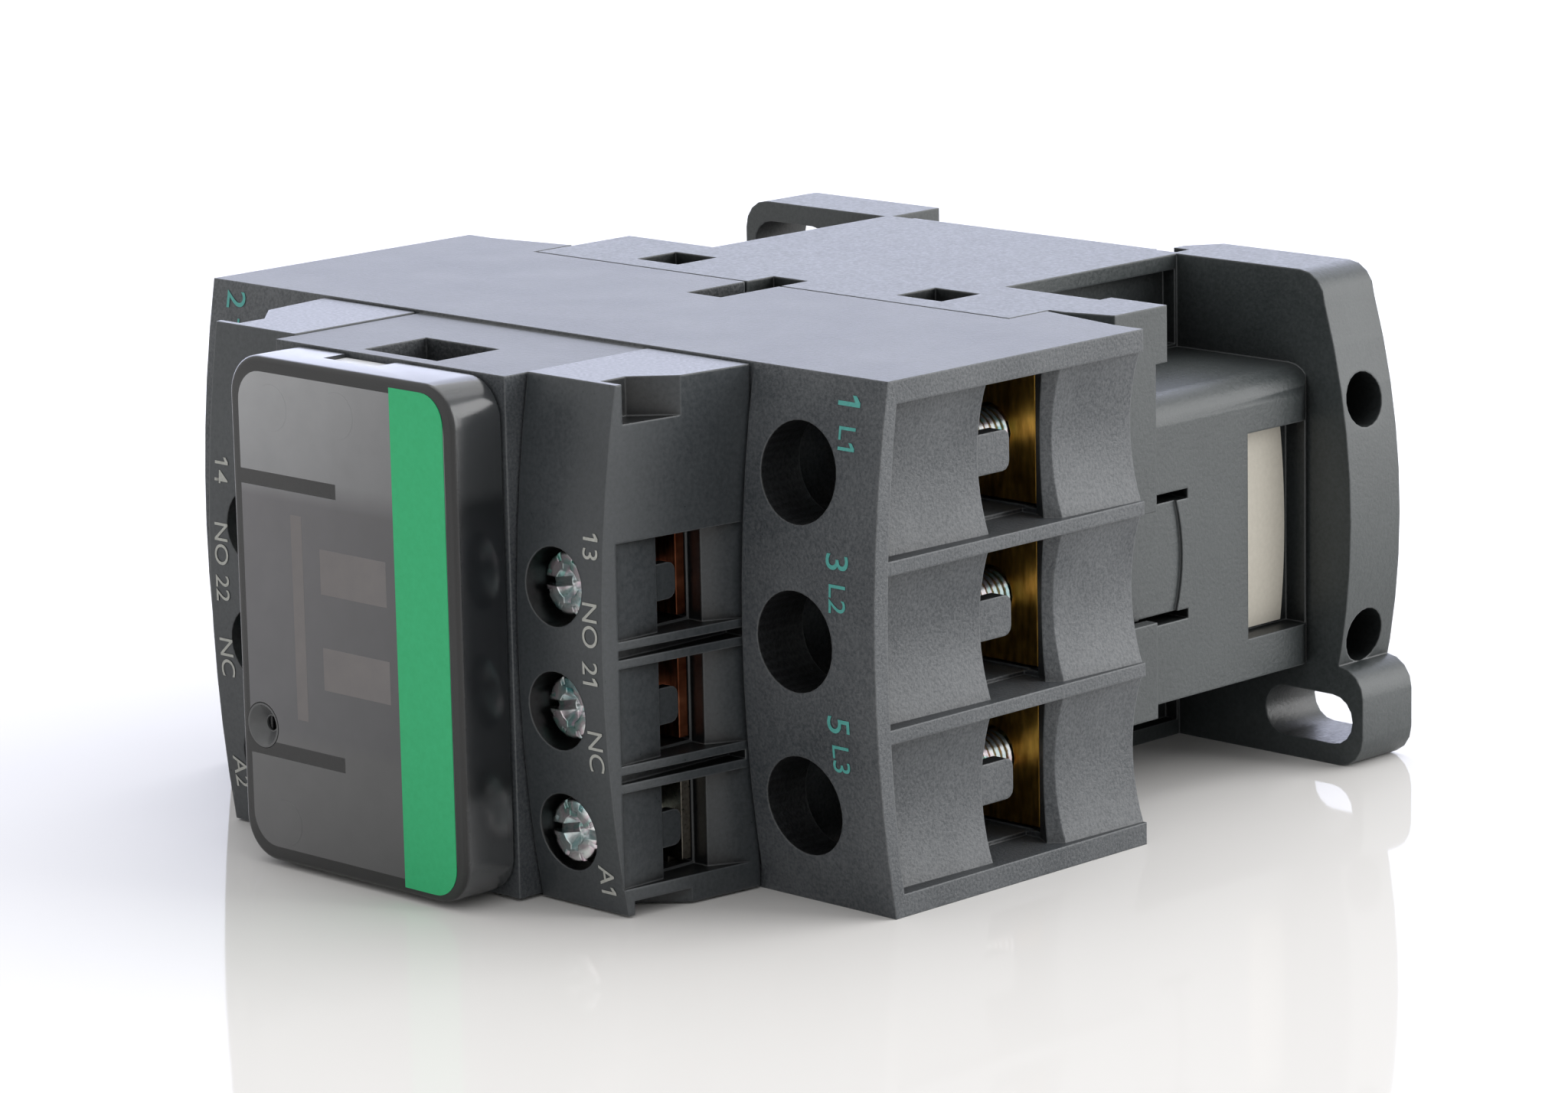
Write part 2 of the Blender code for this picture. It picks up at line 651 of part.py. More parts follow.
def build_front_housing():
    profile = bowed(POWER_FRONT, POWER_BULGE, 0, WIDTH) + [(SEAM, WIDTH), (SEAM, 0)]
    housing = prism("X", profile, (-HALF_HEIGHT, HALF_HEIGHT))
    front = (TOWER_FRONT - PAST, CHAMBER_FRONT + PAST)
    added = [
        block(
            (-TOWER_HALF, TOWER_HALF),
            (TOWER_FRONT, CHAMBER_FRONT),
            (TOWER_INSET, WIDTH - TOWER_INSET),
        )
    ]
    seats, troughs, cuts, tabs = [], [], [], []
    for side, *_ in SIDES:
        seats.append(
            block(
                (side * (TOWER_HALF - SINK), side * (CONTROL_BACK_X + FIT)),
                (BAY_START - PAST, POWER_FRONT),
                (-PAST, WIDTH + PAST),
            )
        )
        cheek = [
            (CHEEK_INNER, SEAM - PAST),
            (CHEEK_INNER, SEAM + CHEEK_REACH),
            (CHEEK_BEND, SEAM + CHEEK_OUTER_REACH),
            (HALF_HEIGHT, SEAM + CHEEK_OUTER_REACH),
            (HALF_HEIGHT, SEAM - PAST),
        ]
        added.append(prism("Z", sided(side, cheek), (0, WIDTH)))
        for z in POLE_Z:
            troughs.append(trough(side, z, (BAY_START, BAY_END), (bay_face(BAY_START), bay_face(BAY_END))))
            cuts += bay_cutters(side, z)
            tabs.append(bay_tab(side, z))
        for z in (NO_Z, NC_Z):
            cuts.append(
                block(
                    (side * (TOWER_HALF - TOWER_WALL - SINK), side * (TOWER_HALF + SINK)),
                    (STRIP_FRONT - FIT, CELL_BACK),
                    (z - AUX_TAIL_HALF - FIT, z + AUX_TAIL_HALF + FIT),
                )
            )
        cuts.append(
            block(
                (side * (LEAD_X - LEAD_HALF - FIT), side * (LEAD_X + LEAD_HALF + FIT)),
                (POWER_FRONT - SINK, SEAM + SINK),
                (LEAD_LOW - FIT, LEAD_HIGH + FIT),
            )
        )
        cuts.append(cover_leg(side, FIT))
    rear = SEAM + PAST
    for z in POLE_Z:
        cuts.append(
            block(
                (-CHAMBER_HALF_X, CHAMBER_HALF_X),
                (CHAMBER_FRONT, rear),
                (z - CHAMBER_HALF_Z, z + CHAMBER_HALF_Z),
            )
        )
    cuts += [
        block((-SHAFT_HALF, SHAFT_HALF), (CHAMBER_FRONT, rear), (SHAFT_END, WIDTH - SHAFT_END)),
        block(
            (-STACK_HALF - FIT, STACK_HALF + FIT),
            (ARMATURE_FRONT - FIT, rear),
            (CORE_LOW - FIT, WIDTH - CORE_LOW + FIT),
        ),
        block(
            (TOWER_WALL - TOWER_HALF, TOWER_HALF - TOWER_WALL),
            (AUX_START, AUX_END),
            (AUX_FLOOR, WIDTH - AUX_FLOOR),
        ),
        block((-NOSE_HALF - FIT, NOSE_HALF + FIT), front, (NOSE_LOW - FIT, NOSE_HIGH + FIT)),
    ]
    link = (TOWER_FRONT + LINK_HOLE_SETBACK, TOWER_FRONT + LINK_HOLE_SETBACK + LINK_HOLE_LONG)
    for low, high in ((-PAST, AUX_FLOOR + SINK), (WIDTH - AUX_FLOOR - SINK, WIDTH + PAST)):
        cuts.append(block((-LINK_HOLE_HALF, LINK_HOLE_HALF), link, (low, high)))
    for low, high in ((-PAST, KEY_SLOT_DEEP), (WIDTH - KEY_SLOT_DEEP, WIDTH + PAST)):
        cuts.append(
            block((-KEY_SLOT_HALF, KEY_SLOT_HALF), (SEAM - KEY_SLOT_FORWARD, rear), (low, high))
        )
    combine(housing, "DIFFERENCE", seats)
    combine(housing, "UNION", added)
    combine(housing, "DIFFERENCE", cuts + [bay_fronts(troughs)])
    combine(housing, "UNION", tabs)
    finish(housing, "front_housing", "charcoal polyamide")


def bay_fronts(troughs):
    """The six troughs as one cutter that stops a border short of the bowed front."""
    inner = bowed(POWER_FRONT + BAY_BORDER, POWER_BULGE, -PAST, WIDTH + PAST, 14)
    inner += [(BAY_END + PAST, WIDTH + PAST), (BAY_END + PAST, -PAST)]
    far = HALF_HEIGHT + PAST
    cutter = prism("X", inner, (-far, far))
    combine(cutter, "INTERSECT", [joined(troughs)])
    apply_cuts(cutter)
    return cutter


def joined(pieces):
    """Separate helpers as one mesh."""
    bm = bmesh.new()
    for piece in pieces:
        bm.from_mesh(piece.data)
        bpy.data.objects.remove(piece, do_unlink=True)
    return helper_object("joined", bm)


def cover_leg(side, room=0.0):
    """One push-in leg of the cover, or with room its socket in the tower."""
    reach = LEG_THICK / 2 + room
    start = TOWER_FRONT - PAST if room else COVER_FRONT + COVER_WALL / 2
    return block(
        (side * LEG_X - reach, side * LEG_X + reach),
        (start, TOWER_FRONT + LEG_LONG + room),
        (MID - LEG_HALF - room, MID + LEG_HALF + room),
    )


def build_cover():
    outer = rounded(
        (-COVER_HALF, COVER_HALF), (COVER_INSET, WIDTH - COVER_INSET), COVER_ROUND, 5
    )
    inner = rounded(
        (COVER_WALL - COVER_HALF, COVER_HALF - COVER_WALL),
        (COVER_INSET + COVER_WALL, WIDTH - COVER_INSET - COVER_WALL),
        COVER_ROUND - COVER_WALL,
        5,
    )
    cover = prism("Y", outer, (COVER_FRONT, COVER_BACK))
    bm = bmesh.new()
    bm.from_mesh(cover.data)
    rim = [edge for edge in bm.edges if all(vert.co.y < COVER_FRONT + FIT for vert in edge.verts)]
    bmesh.ops.bevel(bm, geom=rim, offset=COVER_EDGE, segments=3, profile=0.5, affect="EDGES")
    bmesh.ops.recalc_face_normals(bm, faces=bm.faces)
    bm.to_mesh(cover.data)
    bm.free()
    seal = (SEAL_X, SEAL_Z)
    sink_end = COVER_FRONT + SEAL_SINK_DEEP
    flare = (SEAL_SINK - SEAL_HOLE) / 2 * FIT / SEAL_SINK_DEEP
    cuts = [
        prism("Y", inner, (COVER_FRONT + COVER_WALL, COVER_BACK + PAST)),
        rod("Y", seal, (COVER_FRONT - PAST, COVER_BACK), SEAL_HOLE / 2, 12),
        rod("Y", seal, (COVER_FRONT - FIT, sink_end), SEAL_SINK / 2 + flare, 12, SEAL_HOLE / 2),
    ]
    combine(cover, "DIFFERENCE", cuts)
    combine(cover, "UNION", [cover_leg(side) for side, *_ in SIDES])
    finish(cover, "front_cover", "smoked polycarbonate")


def control_x(y):
    """The drafted side of a control block: wider towards its back."""
    share = (y - CONTROL_FRONT) / (CONTROL_BACK - CONTROL_FRONT)
    return CONTROL_FRONT_X + (CONTROL_BACK_X - CONTROL_FRONT_X) * share


def control_cell(side, z):
    """What opens one control terminal: screw bore, cell, sunk window and wire entry."""
    screw = (side * CONTROL_SCREW_X, z)
    far = side * (CONTROL_BACK_X + PAST)
    window = (z - WINDOW_HALF, z + WINDOW_HALF)
    ramp_end = WINDOW_BACK + RAMP_LONG
    ramp = [
        (control_x(WINDOW_BACK) - RAMP_DEEP, WINDOW_BACK - SINK),
        (control_x(WINDOW_BACK) - RAMP_DEEP, WINDOW_BACK),
        (control_x(ramp_end), ramp_end),
        (CONTROL_BACK_X + PAST, ramp_end),
        (CONTROL_BACK_X + PAST, WINDOW_BACK - SINK),
    ]
    return [
        prism("Z", sided(side, ramp), window),
        rod("Y", screw, (CONTROL_FRONT - 2 * PAST, CELL_FRONT + SINK), CONTROL_BORE / 2, 28),
        rod("Y", screw, (CELL_BACK - SINK, CONTROL_BACK + PAST), CONTROL_THREAD / 2 + 1.5 * FIT, 12),
        block((side * CELL_INNER, side * CELL_OUTER), (CELL_FRONT, CELL_BACK), (z - CELL_HALF, z + CELL_HALF)),
        block((side * WINDOW_FLOOR, far), (WINDOW_FRONT, WINDOW_BACK), window),
        block((side * (CELL_OUTER - FIT), far), (CONTROL_FLAG_END, WINDOW_BACK), window),
    ]


def build_control_block(side, name):
    low, high = CONTROL_INSET, WIDTH - CONTROL_INSET
    nose = CONTROL_FRONT - 2 * PAST
    outline = [
        (CONTROL_INNER, nose),
        (control_x(nose), nose),
        (CONTROL_BACK_X, CONTROL_BACK),
        (CONTROL_INNER, CONTROL_BACK),
    ]
    housing = prism("Z", sided(side, outline), (low, high))
    profile = bowed(CONTROL_FRONT, CONTROL_BULGE, 0, WIDTH)
    profile += [(CONTROL_BACK + PAST, WIDTH), (CONTROL_BACK + PAST, 0)]
    body = prism("X", profile, (side * (CONTROL_INNER - PAST), side * (CONTROL_BACK_X + PAST)))
    far = side * (CONTROL_BACK_X + PAST)
    lead = (side * (LEAD_X - LEAD_HALF - FIT), side * (LEAD_X + LEAD_HALF + FIT))
    cuts = [
        block(lead, (STRIP_FRONT - FIT, CONTROL_BACK + PAST), (LEAD_LOW - FIT, LEAD_HIGH + FIT)),
        block(lead, (STRIP_FRONT - FIT, CELL_BACK - FIT / 2), (LEAD_LOW - FIT, COIL_Z)),
    ]
    tabs = []
    for z in CONTROL_Z:
        cuts += control_cell(side, z)
        tab = rounded(
            (CONTROL_FLAG_END - PAST, CONTROL_FLAG_END + CONTROL_TAB_LONG),
            (z - CONTROL_TAB_HALF, z + CONTROL_TAB_HALF),
            TAB_ROUND,
        )
        tabs.append(prism("X", tab, (side * (CELL_OUTER + FIT / 2), side * (WINDOW_FLOOR - FIT / 2))))
    for z in (NO_Z, NC_Z):
        cuts.append(
            block(
                (side * (CONTROL_INNER - PAST), side * (CELL_INNER + SINK)),
                (STRIP_FRONT - FIT, CELL_BACK),
                (z - AUX_TAIL_HALF - FIT, z + AUX_TAIL_HALF + FIT),
            )
        )
        middle = z - CONTROL_PITCH / 2
        cuts.append(
            block(
                (side * (WINDOW_FLOOR - FIT), far),
                (WINDOW_FRONT, WINDOW_BACK + RAMP_LONG - FIT),
                (middle - RIB_GROOVE / 2, middle + RIB_GROOVE / 2),
            )
        )
    clip = (CONTROL_FRONT + CLIP_SETBACK, CONTROL_FRONT + CLIP_SETBACK + CLIP_LONG)
    pocket = [
        (CONTROL_FRONT_X - CLIP_DEEP, clip[0]),
        (CONTROL_FRONT_X - CLIP_DEEP, clip[0] + CLIP_FLAT),
        (control_x(clip[1]), clip[1]),
        (CONTROL_BACK_X + PAST, clip[1]),
        (CONTROL_BACK_X + PAST, clip[0]),
    ]
    for span in ((-PAST, low + CLIP_LOW), (high - CLIP_HIGH, WIDTH + PAST)):
        cuts.append(prism("Z", sided(side, pocket), span))
    combine(housing, "INTERSECT", [body])
    combine(housing, "DIFFERENCE", cuts)
    combine(housing, "UNION", tabs)
    finish(housing, name, "smooth polyamide")


def plate_outline():
    """The rear plate seen from behind, with its bowed ends."""
    end = [(-x, z) for x, z in bowed(-PLATE_HALF, PLATE_BULGE, PLATE_CORNER, WIDTH - PLATE_CORNER)]
    corner = PLATE_HALF - PLATE_CORNER
    low = arc((corner, PLATE_CORNER), PLATE_CORNER, -90, 0, 4)
    high = arc((corner, WIDTH - PLATE_CORNER), PLATE_CORNER, 0, 90, 4)
    return mirrored(low[:-1] + end + high[1:])


def ear_outline(side):
    """A panel ear seen from behind: a bar with rounded corners, flush with one side of the plate."""
    return rounded((side * NECK_HALF, side * EAR_OUTER[side]), turned(side, 0, EAR_HIGH), EAR_ROUND, 4)


def ear_slot(side):
    """The slot in a panel ear, with round ends."""
    (z,) = turned(side, EAR_SLOT_Z)
    radius = EAR_SLOT_WIDE / 2
    end = EAR_OUTER[side] - EAR_SLOT_WALL - radius
    start = end - EAR_SLOT_LONG
    return sided(side, arc((start, z), radius, 90, 270, 8) + arc((end, z), radius, -90, 90, 8))


def coil_box():
    """The box round the coil: rounded towards the rear plate and along its upper edges."""
    edge = BOX_HALF - BOX_ROUND
    box_end = PLATE_FRONT + FIT
    outline = [(BOX_HALF, NECK_FRONT - SINK)]
    outline += arc((edge, box_end - BOX_ROUND), BOX_ROUND, 0, 90, 4)
    box = prism("Z", mirrored(outline), (BOX_LOW, BOX_HIGH))
    corner = arc((BOX_HALF - BOX_EDGE, BOX_HIGH - BOX_EDGE), BOX_EDGE, 0, 90, 5)
    section = [(BOX_HALF, BOX_LOW - PAST)] + corner
    combine(box, "INTERSECT", [prism("Y", mirrored(section), (NECK_FRONT - PAST, PLATE_FRONT + PAST))])
    apply_cuts(box)
    return box


def base_shapes():
    """What the base is joined from, behind its collar."""
    shapes = [
        block((-NECK_HALF, NECK_HALF), (NECK_FRONT - SINK, PLATE_FRONT + SINK), (0, WIDTH)),
        coil_box(),
        prism("Y", plate_outline(), (PLATE_FRONT, REAR)),
    ]
    collar = CHEEK_INNER - FIT
    chamfer = BASE_FRONT + CHEEK_REACH + FIT
    for side, *_ in SIDES:
        shapes.append(prism("Y", ear_outline(side), (PLATE_FRONT, REAR)))
        flange = [
            (collar - PAST, chamfer),
            (FLANGE_FACE, chamfer),
            (FLANGE_HALF, chamfer + FLANGE_CHAMFER),
            (FLANGE_HALF, NECK_FRONT),
            (collar - PAST, NECK_FRONT),
        ]
        shapes.append(prism("Z", sided(side, flange), turned(side, FLANGE_LOW, WIDTH)))
        lip = (NECK_FRONT - FLANGE_LIP, NECK_FRONT + FLANGE_LIP)
        reach = (side * collar, side * FLANGE_HALF)
        shapes.append(block(reach, lip, turned(side, WIDTH - FLANGE_LIP_HIGH, WIDTH)))
    return shapes


def base_cavities():
    """The room for the magnet and its leads, the rail seat and the latch channel."""
    front = BASE_FRONT - PAST
    latch = (-LATCH_OUTER - PAST, LATCH_BEVEL - RAIL_HALF)
    cuts = [
        block(
            (-STACK_HALF - 2 * FIT, STACK_HALF + 2 * FIT),
            (front, CORE_BACK + FIT),
            (CORE_LOW - FIT, WIDTH - CORE_LOW + FIT),
        ),
        block(
            (-BOBBIN_HALF_X - FIT, BOBBIN_HALF_X + FIT),
            (front, BOBBIN_BACK + FIT),
            (MID - BOBBIN_HALF_Z - FIT, MID + BOBBIN_HALF_Z + FIT),
        ),
        prism("Z", rail_slot(), (-PAST, WIDTH + PAST)),
        block(latch, (LATCH_FRONT - FIT, LATCH_BACK + FIT), (MID - LATCH_HALF - FIT, MID + LATCH_HALF + FIT)),
        block(
            latch,
            (LATCH_BACK, REAR + PAST),
            (MID - LATCH_HALF + LATCH_LEDGE, MID + LATCH_HALF - LATCH_LEDGE),
        ),
    ]
    for side, *_ in SIDES:
        cuts.append(
            block(
                (side * (LEAD_X - LEAD_HALF - FIT), side * (LEAD_X + LEAD_HALF + FIT)),
                (front, BOBBIN_FRONT + BOBBIN_FLANGE + FIT),
                (LEAD_LOW - FIT, MID),
            )
        )
    return cuts


def catch_cutters(side):
    """A snap tongue in the side of the coil box, between two slots and under a gap in the flange."""
    far = side * (FLANGE_HALF + PAST)
    low, high = turned(side, CATCH_LOW, CATCH_HIGH)
    bottom, top = sorted((low, high))
    bow = bowed(CATCH_BOW - NECK_FRONT - CATCH_ARC, CATCH_BOW, bottom, top, 8)
    sunk = [(-y, z) for y, z in reversed(bow)] + [(NECK_FRONT - SINK, bottom), (NECK_FRONT - SINK, top)]
    cuts = [
        block(
            (side * BOX_HALF, far),
            (BASE_FRONT + CHEEK_REACH - SINK, NECK_FRONT + SINK),
            (bottom, top),
        ),
        prism("X", sunk, (side * (BOX_HALF - CATCH_RECESS), far)),
    ]
    for z in (bottom - CATCH_SLOT / 2, top + CATCH_SLOT / 2):
        cuts.append(
            block(
                (side * (BOX_HALF - CATCH_SLOT_DEEP), side * (BOX_HALF + SINK)),
                (NECK_FRONT - PAST, NECK_FRONT + CATCH_REACH),
                (z - CATCH_SLOT / 2, z + CATCH_SLOT / 2),
            )
        )
    return cuts


def build_base():
    collar = CHEEK_INNER - FIT
    base = block((-collar, collar), (BASE_FRONT, NECK_FRONT), (0, WIDTH))
    cuts = base_cavities()
    end = PLATE_HALF + PLATE_BULGE
    for side, *_ in SIDES:
        cuts.append(prism("Y", ear_slot(side), (PLATE_FRONT - PAST, REAR + PAST)))
        cuts += catch_cutters(side)
        for low, high in ((NECK_SLAB, BOX_LOW - FIT), (BOX_HIGH + FIT, WIDTH - NECK_SLAB)):
            cuts.append(
                block(
                    (side * (NECK_HALF - NECK_RELIEF), side * (NECK_HALF + PAST)),
                    (NECK_FRONT + FLANGE_LIP + FIT, PLATE_FRONT - FIT),
                    (low, high),
                )
            )
        for z in (MID - RIM_HOLE_OFFSET, MID + RIM_HOLE_OFFSET):
            span = sorted((side * (end - RIM_HOLE_DEEP), side * (end + PAST)))
            cuts.append(rod("X", (PLATE_FRONT + RIM_HOLE_SETBACK, z), span, RIM_HOLE / 2))
            cuts.append(
                block(
                    (side * (end - RIM_HOLE_DEEP + FIT), side * (end - RIM_BREAK)),
                    (PLATE_FRONT + RIM_HOLE_SETBACK, REAR + PAST),
                    (z - RIM_BREAK_LOW, z - RIM_BREAK_HIGH),
                )
            )
        cuts.append(
            block(
                (side * SNAP_INNER, side * (SNAP_INNER + SNAP_WIDE)),
                (BASE_FRONT + SNAP_SETBACK, BASE_FRONT + SNAP_SETBACK + SNAP_LONG),
                (WIDTH - SNAP_DEEP, WIDTH + PAST),
            )
        )
    for low, high in ((-PAST, KEY_SLOT_DEEP), (WIDTH - KEY_SLOT_DEEP, WIDTH + PAST)):
        cuts.append(
            block(
                (-KEY_SLOT_HALF, KEY_SLOT_HALF),
                (BASE_FRONT - PAST, BASE_FRONT + KEY_SLOT_BACK),
                (low, high),
            )
        )
    window_end = PLATE_FRONT - LABEL_MARGIN
    window = (window_end - LABEL_LONG, window_end)
    cuts.append(block((BOX_HALF - LABEL_DEEP, BOX_HALF + PAST), window, (LABEL_LOW, LABEL_HIGH)))
    post = block(
        (-LATCH_POST_INNER - LATCH_POST, -LATCH_POST_INNER),
        (LATCH_FRONT - FIT - SINK, LATCH_BACK - FIT),
        (MID - LATCH_WINDOW_HALF + 1.5 * FIT, MID + LATCH_WINDOW_HALF - 1.5 * FIT),
    )
    combine(base, "UNION", base_shapes())
    combine(base, "DIFFERENCE", cuts)
    combine(base, "UNION", [post])
    finish(base, "base", "grey polyamide")
    label_back = BOX_HALF - LABEL_DEEP + FIT
    label = block(
        (label_back, label_back + LABEL_THICK),
        (window[0] + FIT, window[1] - LABEL_SHORT),
        (LABEL_LOW + FIT, LABEL_HIGH - FIT),
    )
    finish(label, "coil_label", "white label")


def rail_slot():
    """Cross-section of the rail seat: a raised land, and a fixed lip on the line side."""
    grip = RAIL_SEAT + RAIL_GRIP
    floor = RAIL_SEAT - RAIL_LAND
    lip = RAIL_HALF - RAIL_LIP
    return [
        (-RAIL_HALF, floor),
        (-RAIL_LAND_HALF, floor),
        (-RAIL_LAND_HALF, RAIL_SEAT),
        (RAIL_LAND_HALF, RAIL_SEAT),
        (RAIL_LAND_HALF, floor),
        (RAIL_HALF, floor),
        (RAIL_HALF, grip),
        (lip, grip),
        (lip, grip + RAIL_LIP_THICK),
        (RAIL_HALF + SINK, REAR + FIT),
        (RAIL_HALF + SINK, REAR + PAST),
        (-RAIL_HALF, REAR + PAST),
    ]


def build_rail_latch():
    outline = [
        (-LATCH_OUTER, LATCH_FRONT),
        (-LATCH_NOSE, LATCH_FRONT),
        (-LATCH_NOSE, LATCH_BACK - LATCH_BEVEL),
        (-LATCH_NOSE - LATCH_BEVEL, LATCH_BACK),
        (-LATCH_OUTER, LATCH_BACK),
    ]
    latch = prism("Z", outline, (MID - LATCH_HALF, MID + LATCH_HALF))
    through = (LATCH_FRONT - PAST, LATCH_BACK + PAST)
    eye = -LATCH_OUTER + LATCH_EYE_INSET
    cuts = [
        block(
            (-LATCH_POST_INNER - LATCH_POST - FIT, -LATCH_WINDOW_INNER),
            through,
            (MID - LATCH_WINDOW_HALF, MID + LATCH_WINDOW_HALF),
        ),
        block((eye, eye + LATCH_EYE), through, (MID - LATCH_EYE_HALF, MID + LATCH_EYE_HALF)),
    ]
    combine(latch, "DIFFERENCE", cuts)
    finish(latch, "rail_latch", "smooth polyamide")
    level = (LATCH_FRONT + LATCH_BACK) / 2
    start = (FIT - LATCH_POST_INNER, level, MID)
    coil_spring("rail_latch_spring", start, (-LATCH_WINDOW_INNER - FIT, level, MID), LATCH_SPRING)


def e_profile(back, inner, face):
    """An E in (y, z): a yoke between back and inner, and three legs that end at face."""
    bottom = CORE_LOW + OUTER_LEG
    half = CENTRE_LEG / 2
    lower = [(back, CORE_LOW), (face, CORE_LOW), (face, bottom), (inner, bottom)]
    lower += [(inner, MID - half), (face, MID - half)]
    return lower + [(y, WIDTH - z) for y, z in reversed(lower)]


def build_magnet():
    stack = (-STACK_HALF, STACK_HALF)
    core = prism("X", e_profile(CORE_BACK, CORE_INNER, CORE_FACE), stack)
    finish(core, "fixed_core", "core steel")
    armature = prism("X", e_profile(ARMATURE_FRONT, ARMATURE_BACK, ARMATURE_FACE), stack)
    room = TONGUE_HALF + FIT
    cuts = [
        block(
            (-CARRIER_HALF - FIT, CARRIER_HALF + FIT),
            (ARMATURE_FRONT - PAST, TONGUE_END + FIT),
            (MID - room, MID + room),
        ),
        rod("X", (PIN_Y, MID), (-STACK_HALF - PAST, STACK_HALF + PAST), PIN_RADIUS + FIT, 16),
    ]
    combine(armature, "DIFFERENCE", cuts)
    finish(armature, "armature", "core steel")
    pin = rod("X", (PIN_Y, MID), (FIT - STACK_HALF, STACK_HALF - FIT), PIN_RADIUS, 12)
    finish(pin, "armature_pin", "spring steel")
    offset = (MID - CENTRE_LEG / 2 - CORE_LOW - OUTER_LEG) / 2 + CENTRE_LEG / 2
    for number, z in ((1, MID + offset), (2, MID - offset)):
        ends = ((0, ARMATURE_BACK + FIT, z), (0, BOBBIN_FRONT - FIT, z))
        coil_spring(f"return_spring_{number}", *ends, RETURN_SPRING)


def build_coil():
    bore_x, bore_z = STACK_HALF + FIT, CENTRE_LEG / 2 + FIT
    tube_x, tube_z = bore_x + BOBBIN_WALL, bore_z + BOBBIN_WALL
    front, back = BOBBIN_FRONT + BOBBIN_FLANGE, BOBBIN_BACK - BOBBIN_FLANGE
    bobbin = block((-tube_x, tube_x), (BOBBIN_FRONT, BOBBIN_BACK), (MID - tube_z, MID + tube_z))
    flange = rounded(
        (-BOBBIN_HALF_X, BOBBIN_HALF_X), (MID - BOBBIN_HALF_Z, MID + BOBBIN_HALF_Z), BOBBIN_ROUND
    )
    added = [prism("Y", flange, (BOBBIN_FRONT, front)), prism("Y", flange, (back, BOBBIN_BACK))]
    for side, *_ in SIDES:
        lug = (side * (LEAD_X - LEAD_HALF), side * (LEAD_X + LEAD_HALF))
        added.append(block(lug, (BOBBIN_FRONT, front), (LEAD_HIGH + FIT, MID - tube_z)))
    bore = block(
        (-bore_x, bore_x), (BOBBIN_FRONT - PAST, BOBBIN_BACK + PAST), (MID - bore_z, MID + bore_z)
    )
    combine(bobbin, "UNION", added)
    combine(bobbin, "DIFFERENCE", [bore])
    finish(bobbin, "coil_bobbin", "smooth polyamide")
    outer = rounded(
        (-WINDING_HALF_X, WINDING_HALF_X),
        (MID - WINDING_HALF_Z, MID + WINDING_HALF_Z),
        WINDING_ROUND,
        4,
    )
    hole_x, hole_z = tube_x + FIT, tube_z + FIT
    winding = prism("Y", outer, (front + FIT, back - FIT))
    hole = block((-hole_x, hole_x), (front - PAST, back + PAST), (MID - hole_z, MID + hole_z))
    combine(winding, "DIFFERENCE", [hole])
    finish(winding, "coil_winding", "enamelled copper")


def build_carrier():
    across = (-CARRIER_HALF, CARRIER_HALF)
    carrier = block(across, (CARRIER_FRONT, CARRIER_BACK), (SHAFT_END + FIT, WIDTH - SHAFT_END - FIT))
    added = [
        block(
            (-NOSE_HALF, NOSE_HALF),
            (TOWER_FRONT + NOSE_RECESS, CARRIER_FRONT + SINK),
            (NOSE_LOW, NOSE_HIGH),
        ),
        block(across, (CARRIER_BACK - PAST, TONGUE_END), (MID - TONGUE_HALF, MID + TONGUE_HALF)),
    ]
    wide = (-CARRIER_HALF - PAST, CARRIER_HALF + PAST)
    aux_half = AUX_BRIDGE_HALF_Z + FIT
    no_window = (NO_BACK - AUX_BRIDGE_THICK - AUX_SPRING_ROOM, NO_BACK + FIT)
    nc_window = (NC_FRONT - FIT, NC_FRONT + AUX_BRIDGE_THICK + FIT)
    cuts = [
        rod("X", (PIN_Y, MID), wide, PIN_RADIUS + FIT, 16),
        block(wide, no_window, (NO_Z - aux_half, NO_Z + aux_half)),
        block(wide, nc_window, (NC_Z - aux_half, NC_Z + aux_half)),
    ]
    for z in POLE_Z:
        cuts.append(
            block(
                wide,
                (CARRIER_WINDOW_FRONT, CARRIER_WINDOW_BACK),
                (z - CARRIER_WINDOW_HALF, z + CARRIER_WINDOW_HALF),
            )
        )
    combine(carrier, "UNION", added)
    combine(carrier, "DIFFERENCE", cuts)
    finish(carrier, "contact_carrier", "carrier thermoset")


def build_bridges():
    bridge = block(
        (-BRIDGE_HALF_X, BRIDGE_HALF_X), (-BRIDGE_THICK, 0), (-BRIDGE_HALF_Z, BRIDGE_HALF_Z)
    )
    tips = [
        block(
            (side * TIP_INNER, side * (TIP_INNER + TIP_LONG)),
            (-SINK, BRIDGE_TIP),
            (-TIP_HALF, TIP_HALF),
        )
        for side, *_ in SIDES
    ]
    combine(bridge, "UNION", tips)
    places = {f"bridge_contact_{n}": (0, BRIDGE_BACK, z) for n, z in enumerate(POLE_Z, 1)}
    place_copies(bridge, places, "contact copper")
    for number, z in enumerate(POLE_Z, 1):
        ends = ((0, CARRIER_WINDOW_FRONT + FIT, z), (0, BRIDGE_FRONT - FIT, z))
        coil_spring(f"contact_spring_{number}", *ends, CONTACT_SPRING)
    for name, front, z in (
        ("aux_bridge_no", NO_BACK - AUX_BRIDGE_THICK, NO_Z),
        ("aux_bridge_nc", NC_FRONT, NC_Z),
    ):
        bar = block(
            (-AUX_BRIDGE_HALF_X, AUX_BRIDGE_HALF_X),
            (front, front + AUX_BRIDGE_THICK),
            (z - AUX_BRIDGE_HALF_Z, z + AUX_BRIDGE_HALF_Z),
        )
        finish(bar, name, "contact copper")


